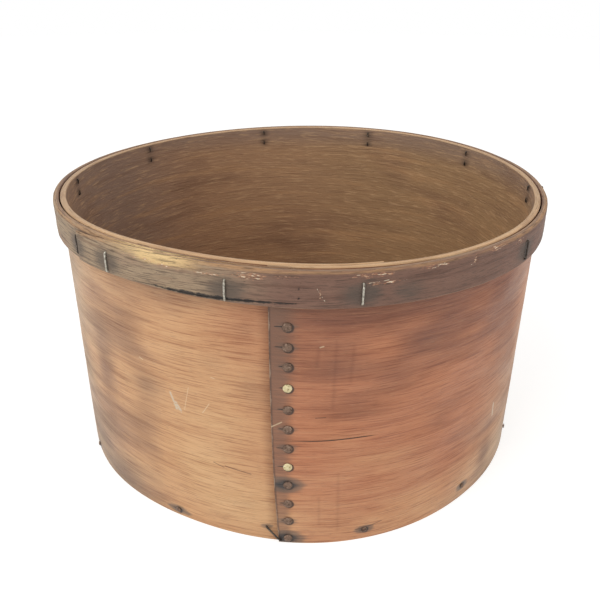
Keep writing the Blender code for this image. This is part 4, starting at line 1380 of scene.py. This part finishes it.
class HATBOX_OT_add_board(Operator):
    """Lays the bottom board inside the foot of the wall"""

    bl_idname = "hat_box.add_board"
    bl_label = "Add Bottom Board"

    def execute(self, context):
        scene = context.scene
        box = Box(scene)
        sizes = scene.hat_box_board
        bearings = box.wall.inner_end + (np.arange(BOARD_SIDES) + 0.02) * tau / BOARD_SIDES
        edge = box.wall.inside(bearings, 0.0) - sizes.gap - 0.05 * MM
        round_over = 0.7 * MM
        shares = np.linspace(0.0, 1.0, BOARD_RINGS + 1)[1:]
        under = [(edge - round_over) * share for share in shares]
        levels = [np.zeros(BOARD_SIDES) for share in shares]
        for turn in np.linspace(0.0, pi / 2.0, ROUND_STEPS)[1:]:
            under.append(edge - round_over * (1.0 - sin(turn)))
            levels.append(np.full(BOARD_SIDES, round_over * (1.0 - cos(turn))))
        radii = np.array(under + under[::-1])
        rise = np.array(levels + [sizes.thickness - level for level in levels[::-1]])
        x, y = radii * np.sin(bearings), -radii * np.cos(bearings)
        cupped = 0.45 * MM * mottle(21, x + 0.5, y + 0.5, 70.0 * MM, 16.0 * MM)
        cupped = cupped + 0.12 * MM * mottle(22, x + 0.5, y + 0.5, 40.0 * MM, 3.0 * MM)
        flat = len(shares)
        rise[:flat] += cupped[:flat]
        rise[-flat:] -= cupped[-flat:]
        rings = len(radii)
        points = np.stack([x, y, rise], axis=-1).reshape(-1, 3)
        index = np.arange(rings * BOARD_SIDES).reshape(rings, BOARD_SIDES)
        after = np.roll(index, -1, axis=1)
        quads = np.stack([index[:-1], after[:-1], after[1:], index[1:]], axis=-1).reshape(-1, 4)
        low, high = rings * BOARD_SIDES, rings * BOARD_SIDES + 1
        middle = [(0.0, 0.0, 0.2 * MM), (0.0, 0.0, sizes.thickness - 0.2 * MM)]
        fans = [(low, b, a) for a, b in zip(index[0], after[0])]
        fans += [(high, a, b) for a, b in zip(index[-1], after[-1])]
        mesh = bpy.data.meshes.new("board_disc")
        mesh.from_pydata(points.tolist() + middle, [], quads.tolist() + fans)
        dust = ease((radii / edge - 0.72) / 0.28) * 0.8
        carry(mesh, "grime", np.concatenate([dust.reshape(-1), (0.0, 0.0)]))
        smooth(mesh, 50.0)
        add_piece("board_disc", mesh, ["bottom_board"], [sawn_pine(sizes)])
        return {"FINISHED"}


def head_profile(radius, height, shank):
    """A hammered low dome from its top to its seat, on a shank."""
    turns = (0.0, 0.3, 0.55, 0.78, 0.93)
    profile = [(radius * share, height * (1.0 - 0.62 * share ** 2.6)) for share in turns]
    return profile + [(radius, height * 0.2), (radius * 0.97, 0.0), (shank, 0.0)]


class HATBOX_OT_add_tacks(Operator):
    """Drives the row of clinched tacks down the seam"""

    bl_idname = "hat_box.add_tacks"
    bl_label = "Add Seam Tacks"

    def execute(self, context):
        scene = context.scene
        box = Box(scene)
        sizes = scene.hat_box_fasteners
        bearing, heights = box.seam_row(sizes, scene.hat_box_board)
        iron, brass = rusted_iron(sizes), tarnished_brass(sizes)
        top = scene.hat_box_wall.height
        face = float(box.wall.outside(bearing, top))
        depth = face - float(box.wall.inside(bearing, top))
        bend_start = depth + 2.0 * sizes.seat_gap + sizes.tack_shank - sizes.tack_bend
        bend = sizes.tack_bend * pi / 2.0
        length_in = bend_start + bend + sizes.tack_clinch

        def clinched(point):
            """The shank's point turned up past the depth where its bend starts."""
            past = -bend_start - point.z
            if past <= 0.0:
                return point
            turn = min(past / sizes.tack_bend, pi / 2.0)
            straight = past - turn * sizes.tack_bend
            arm = sizes.tack_bend - point.y
            up = sizes.tack_bend - arm * cos(turn) + straight * sin(turn)
            return Vector((point.x, up, -bend_start - arm * sin(turn) - straight * cos(turn)))

        for number, height in enumerate(heights[:-1], start=1):
            profile = head_profile(sizes.tack_radius, sizes.tack_height, sizes.tack_shank)
            profile += [
                (sizes.tack_shank, -bend_start - bend * share / 6.0) for share in range(7)
            ]
            profile += [
                (sizes.tack_shank * 0.75, sizes.tack_clinch * 0.45 - length_in),
                (sizes.tack_shank * 0.3, sizes.tack_clinch * 0.1 - length_in),
                (0.0, -length_in),
            ]
            mesh = turned_mesh("seam_tack", profile, 0.5 * MM, 100 + number, clinched)
            mesh.transform(seat(bearing, face + sizes.seat_gap, float(height)))
            slot_name, metal = "aged_iron", iron
            if number in BRASS_TACKS:
                slot_name, metal = "pale_brass", brass
            add_piece(f"tack_{number:02d}", mesh, [f"seam_tack_{number:02d}"], [metal])
        return {"FINISHED"}


class HATBOX_OT_add_nails(Operator):
    """Drives the nails through the wall into the bottom board"""

    bl_idname = "hat_box.add_nails"
    bl_label = "Add Board Nails"

    def execute(self, context):
        scene = context.scene
        box = Box(scene)
        sizes, board = scene.hat_box_fasteners, scene.hat_box_board
        iron = rusted_iron(sizes)
        seam_bearing, heights = box.seam_row(sizes, board)
        places = [("seam_nail", seam_bearing, float(heights[-1]))]
        for number, place in enumerate(box.board_nails(board), start=1):
            places.append((f"bottom_nail_{number:02d}", *place))
        for seed, (node, bearing, height) in enumerate(places, start=150):
            large = node == "seam_nail"
            radius = sizes.tack_radius if large else sizes.nail_radius
            rise = sizes.tack_height if large else sizes.nail_height
            profile = head_profile(radius, rise, sizes.nail_shank) + [
                (sizes.nail_shank, sizes.nail_point - sizes.nail_length),
                (sizes.nail_shank * 0.3, -sizes.nail_length + 0.2 * MM),
                (0.0, -sizes.nail_length),
            ]
            mesh = turned_mesh(node, profile, 0.4 * MM, seed)
            face = float(box.wall.outside(bearing, height))
            mesh.transform(seat(bearing, face + sizes.seat_gap, height))
            name = node.replace("bottom_nail", "nail") + "_worn"
            add_piece(name, mesh, [node], [iron])
        return {"FINISHED"}


class HATBOX_OT_add_staples(Operator):
    """Drives the upright staples through the hoop and the slanting one across the seam"""

    bl_idname = "hat_box.add_staples"
    bl_label = "Add Staples"

    def execute(self, context):
        scene = context.scene
        box = Box(scene)
        sizes, board = scene.hat_box_fasteners, scene.hat_box_board
        dark, bare = drawn_steel(sizes, False), drawn_steel(sizes, True)
        chance = np.random.RandomState(31)
        lead = sizes.seat_gap + sizes.wire_radius
        reach = sizes.crown / 2.0 - sizes.wire_radius
        bend = sizes.bend
        for number, (bearing, height, _) in enumerate(box.rim_staples(sizes), start=1):
            face = float(box.hoop.outside(bearing, height))
            depth = face - float(box.wall.inside(bearing, height))
            sway, lean, bow = chance.uniform(-1.0, 1.0, 3)

            def leg(side):
                """Points from the turned tip through the leg to the crown."""
                back = -depth - lead
                tip = (sway * 0.7 * MM, side * (reach - bend - sizes.clinch), back - 0.1 * MM)
                inner = quarter(
                    (0, side * (reach - bend), back), (0, side * reach, back + bend),
                    (0, side * (reach - bend), back + bend),
                )
                outer = quarter(
                    (0, side * reach, lead - bend), (0, side * (reach - bend), lead),
                    (0, side * (reach - bend), lead - bend),
                )
                return [Vector(tip)] + inner + outer

            lower = leg(-1.0)
            crown = [
                Vector((bow * 0.18 * MM * sin(pi * share), (share * 2 - 1) * (reach - bend), lead))
                for share in (0.2, 0.4, 0.6, 0.8)
            ]
            points = lower + crown + leg(1.0)[::-1]
            mesh = wire_mesh("rim_staple", points, sizes.wire_radius)
            mesh.transform(Matrix.Rotation(radians(lean * 1.4), 4, "Z"))
            mesh.transform(seat(bearing, face, height))
            wire = bare if number in BRIGHT_STAPLES else dark
            node = f"rim_staple_{number:02d}"
            add_piece(node + "_wire", mesh, [node], [wire])

        from_bearing, to_bearing = SEAM_STAPLE_BEARINGS
        top = (radians(from_bearing), board.thickness - SEAM_STAPLE_DROP)
        foot = (radians(to_bearing), SEAM_STAPLE_RISE)
        top_seat = float(box.wall.outside(*top))
        foot_seat = float(box.wall.outside(*foot))
        turn, fall = foot[0] - top[0], foot[1] - top[1]
        crown = hypot(turn * box.radius, fall)
        step = (float(box.wall.outer_end(foot[1])) - top[0]) / turn - lead / crown
        shares = (
            (0.0, top_seat, -SEAM_STAPLE_LEG), (0.0, top_seat, lead - bend),
            (bend * 0.3 / crown, top_seat, lead - bend * 0.35), (bend / crown, top_seat, lead),
            (step * 0.6, top_seat * 0.5 + foot_seat * 0.5, lead), (step, foot_seat, lead),
            (1.0 - bend / crown, foot_seat, lead),
            (1.0 - bend * 0.3 / crown, foot_seat, lead - bend * 0.35),
            (1.0, foot_seat, lead - bend), (1.0, foot_seat, -SEAM_STAPLE_LEG),
        )
        points = [
            round_point(top[0] + turn * share, seat_radius + lift, top[1] + fall * share)
            for share, seat_radius, lift in shares
        ]
        mesh = wire_mesh("seam_staple", points, sizes.wire_radius)
        add_piece("seam_staple_wire", mesh, ["seam_staple"], [dark])
        return {"FINISHED"}


class HATBOX_OT_add_stage(Operator):
    """Adds the floor, the soft light and the camera"""

    bl_idname = "hat_box.add_stage"
    bl_label = "Add Floor, Light and Camera"

    def execute(self, context):
        scene = context.scene
        look = scene.hat_box_stage
        bm = bmesh.new()
        bmesh.ops.create_circle(bm, cap_ends=True, segments=96, radius=4.0)
        floor_mesh = bpy.data.meshes.new("floor")
        bm.to_mesh(floor_mesh)
        bm.free()
        floor_mesh.transform(Matrix.Translation((0.0, 0.0, -0.2 * MM)))
        floor_mesh.materials.append(paper_floor(look))
        add_object("floor", floor_mesh)

        for name, size, power, place in (
            ("key", 1.7, look.key_power, (-1.25, -1.15, 1.75)),
            ("fill", 1.5, look.fill_power, (1.5, -0.9, 1.3)),
        ):
            lamp = bpy.data.lights.new(name, "AREA")
            lamp.shape, lamp.size, lamp.energy = "DISK", size, power
            light = add_object(name, lamp)
            light.location = place
            aim = Vector((0.0, 0.0, 0.1)) - light.location
            light.rotation_euler = aim.to_track_quat("-Z", "Y").to_euler()

        world = bpy.data.worlds.new("even_light")
        world.use_nodes = True
        tree = world.node_tree
        background = tree.nodes["Background"]
        background.inputs["Color"].default_value = (1.0, 1.0, 1.0, 1.0)
        strength = add_node(
            tree, "ShaderNodeMapRange", {"Value": seen_directly(tree), "To Min": look.world}
        )
        tree.links.new(strength.outputs[0], background.inputs["Strength"])
        scene.world = world
        scene.view_settings.view_transform = "Standard"

        lens = bpy.data.cameras.new("camera")
        lens.sensor_width = SENSOR
        lens.lens = LENS
        tilt = Matrix.Rotation(pi / 2.0 - CAMERA_TILT, 4, "X")
        tilt = tilt @ Matrix.Rotation(CAMERA_ROLL, 4, "Z")
        scene.camera = add_object("camera", lens)
        scene.camera.matrix_world = Matrix.Translation(CAMERA_PLACE) @ tilt
        return {"FINISHED"}


def seen_directly(tree):
    """1 for rays from the camera, and for those that metal or glass sends on, else 0."""
    path = add_node(tree, "ShaderNodeLightPath").outputs
    seen = path["Is Camera Ray"]
    for kind in ("Is Glossy Ray", "Is Transmission Ray"):
        seen = add_node(
            tree, "ShaderNodeMath", {0: seen, 1: path[kind]}, operation="MAXIMUM"
        ).outputs[0]
    return seen


def paper_floor(look):
    """Seamless white paper, matt: it shows white and holds only the box's soft shadow."""
    material, tree, shader = new_material("paper_matt", Roughness=0.9)
    shader.inputs["Base Color"].default_value = (*look.floor, 1.0)
    fibres = add_node(
        tree, "ShaderNodeTexNoise",
        {"Scale": 1.0 / (3.0 * MM), "Detail": 2.0,
         "Vector": add_node(tree, "ShaderNodeTexCoord").outputs["Object"]},
    )
    pressed(tree, shader, ((fibres.outputs[0], 1.0),), 0.05)
    # to the camera the paper is matt and also glows a little: together they reach white in the
    # open, and fall short of it only in the box's shadow
    glow = add_node(tree, "ShaderNodeEmission", {"Color": (1.0, 1.0, 1.0, 1.0), "Strength": 0.65})
    held = add_node(tree, "ShaderNodeBsdfDiffuse", {"Color": (0.56, 0.56, 0.55, 1.0)})
    part = add_node(tree, "ShaderNodeAddShader", {0: held.outputs[0], 1: glow.outputs[0]})
    mixed = add_node(
        tree, "ShaderNodeMixShader",
        {0: seen_directly(tree), 1: shader.outputs[0], 2: part.outputs[0]},
    )
    output = tree.nodes["Material Output"]
    tree.links.new(mixed.outputs[0], output.inputs["Surface"])
    return material


class HATBOX_PT_panel(Panel):
    """Lists the pieces of the hat box"""

    bl_idname = "HATBOX_PT_panel"
    bl_label = "Hat Box"
    bl_space_type = "VIEW_3D"
    bl_region_type = "UI"
    bl_category = "Hat Box"

    def draw(self, context):
        for operator in OPERATORS:
            self.layout.operator(operator.bl_idname)
        for name in SETTINGS:
            group = getattr(context.scene, name)
            column = self.layout.column(heading=name)
            for key in group.bl_rna.properties.keys():
                if key not in ("rna_type", "name"):
                    column.prop(group, key)


SETTINGS = {
    "hat_box_wall": HatBoxWall,
    "hat_box_hoop": HatBoxHoop,
    "hat_box_board": HatBoxBoard,
    "hat_box_fasteners": HatBoxFasteners,
    "hat_box_stage": HatBoxStage,
}
OPERATORS = (
    HATBOX_OT_add_wall,
    HATBOX_OT_add_hoop,
    HATBOX_OT_add_board,
    HATBOX_OT_add_tacks,
    HATBOX_OT_add_nails,
    HATBOX_OT_add_staples,
    HATBOX_OT_add_stage,
)


def register():
    """Adds the settings, operators and panel to Blender."""
    for kind in (*SETTINGS.values(), *OPERATORS, HATBOX_PT_panel):
        bpy.utils.register_class(kind)
    for name, kind in SETTINGS.items():
        setattr(bpy.types.Scene, name, PointerProperty(type=kind))


def unregister():
    """Takes them out again, in reverse order."""
    for name in SETTINGS:
        delattr(bpy.types.Scene, name)
    for kind in reversed((*SETTINGS.values(), *OPERATORS, HATBOX_PT_panel)):
        bpy.utils.unregister_class(kind)


def main():
    """Builds every piece."""
    register()
    for operator in OPERATORS:
        group, name = operator.bl_idname.split(".")
        getattr(getattr(bpy.ops, group), name)()


if __name__ == "__main__":
    main()
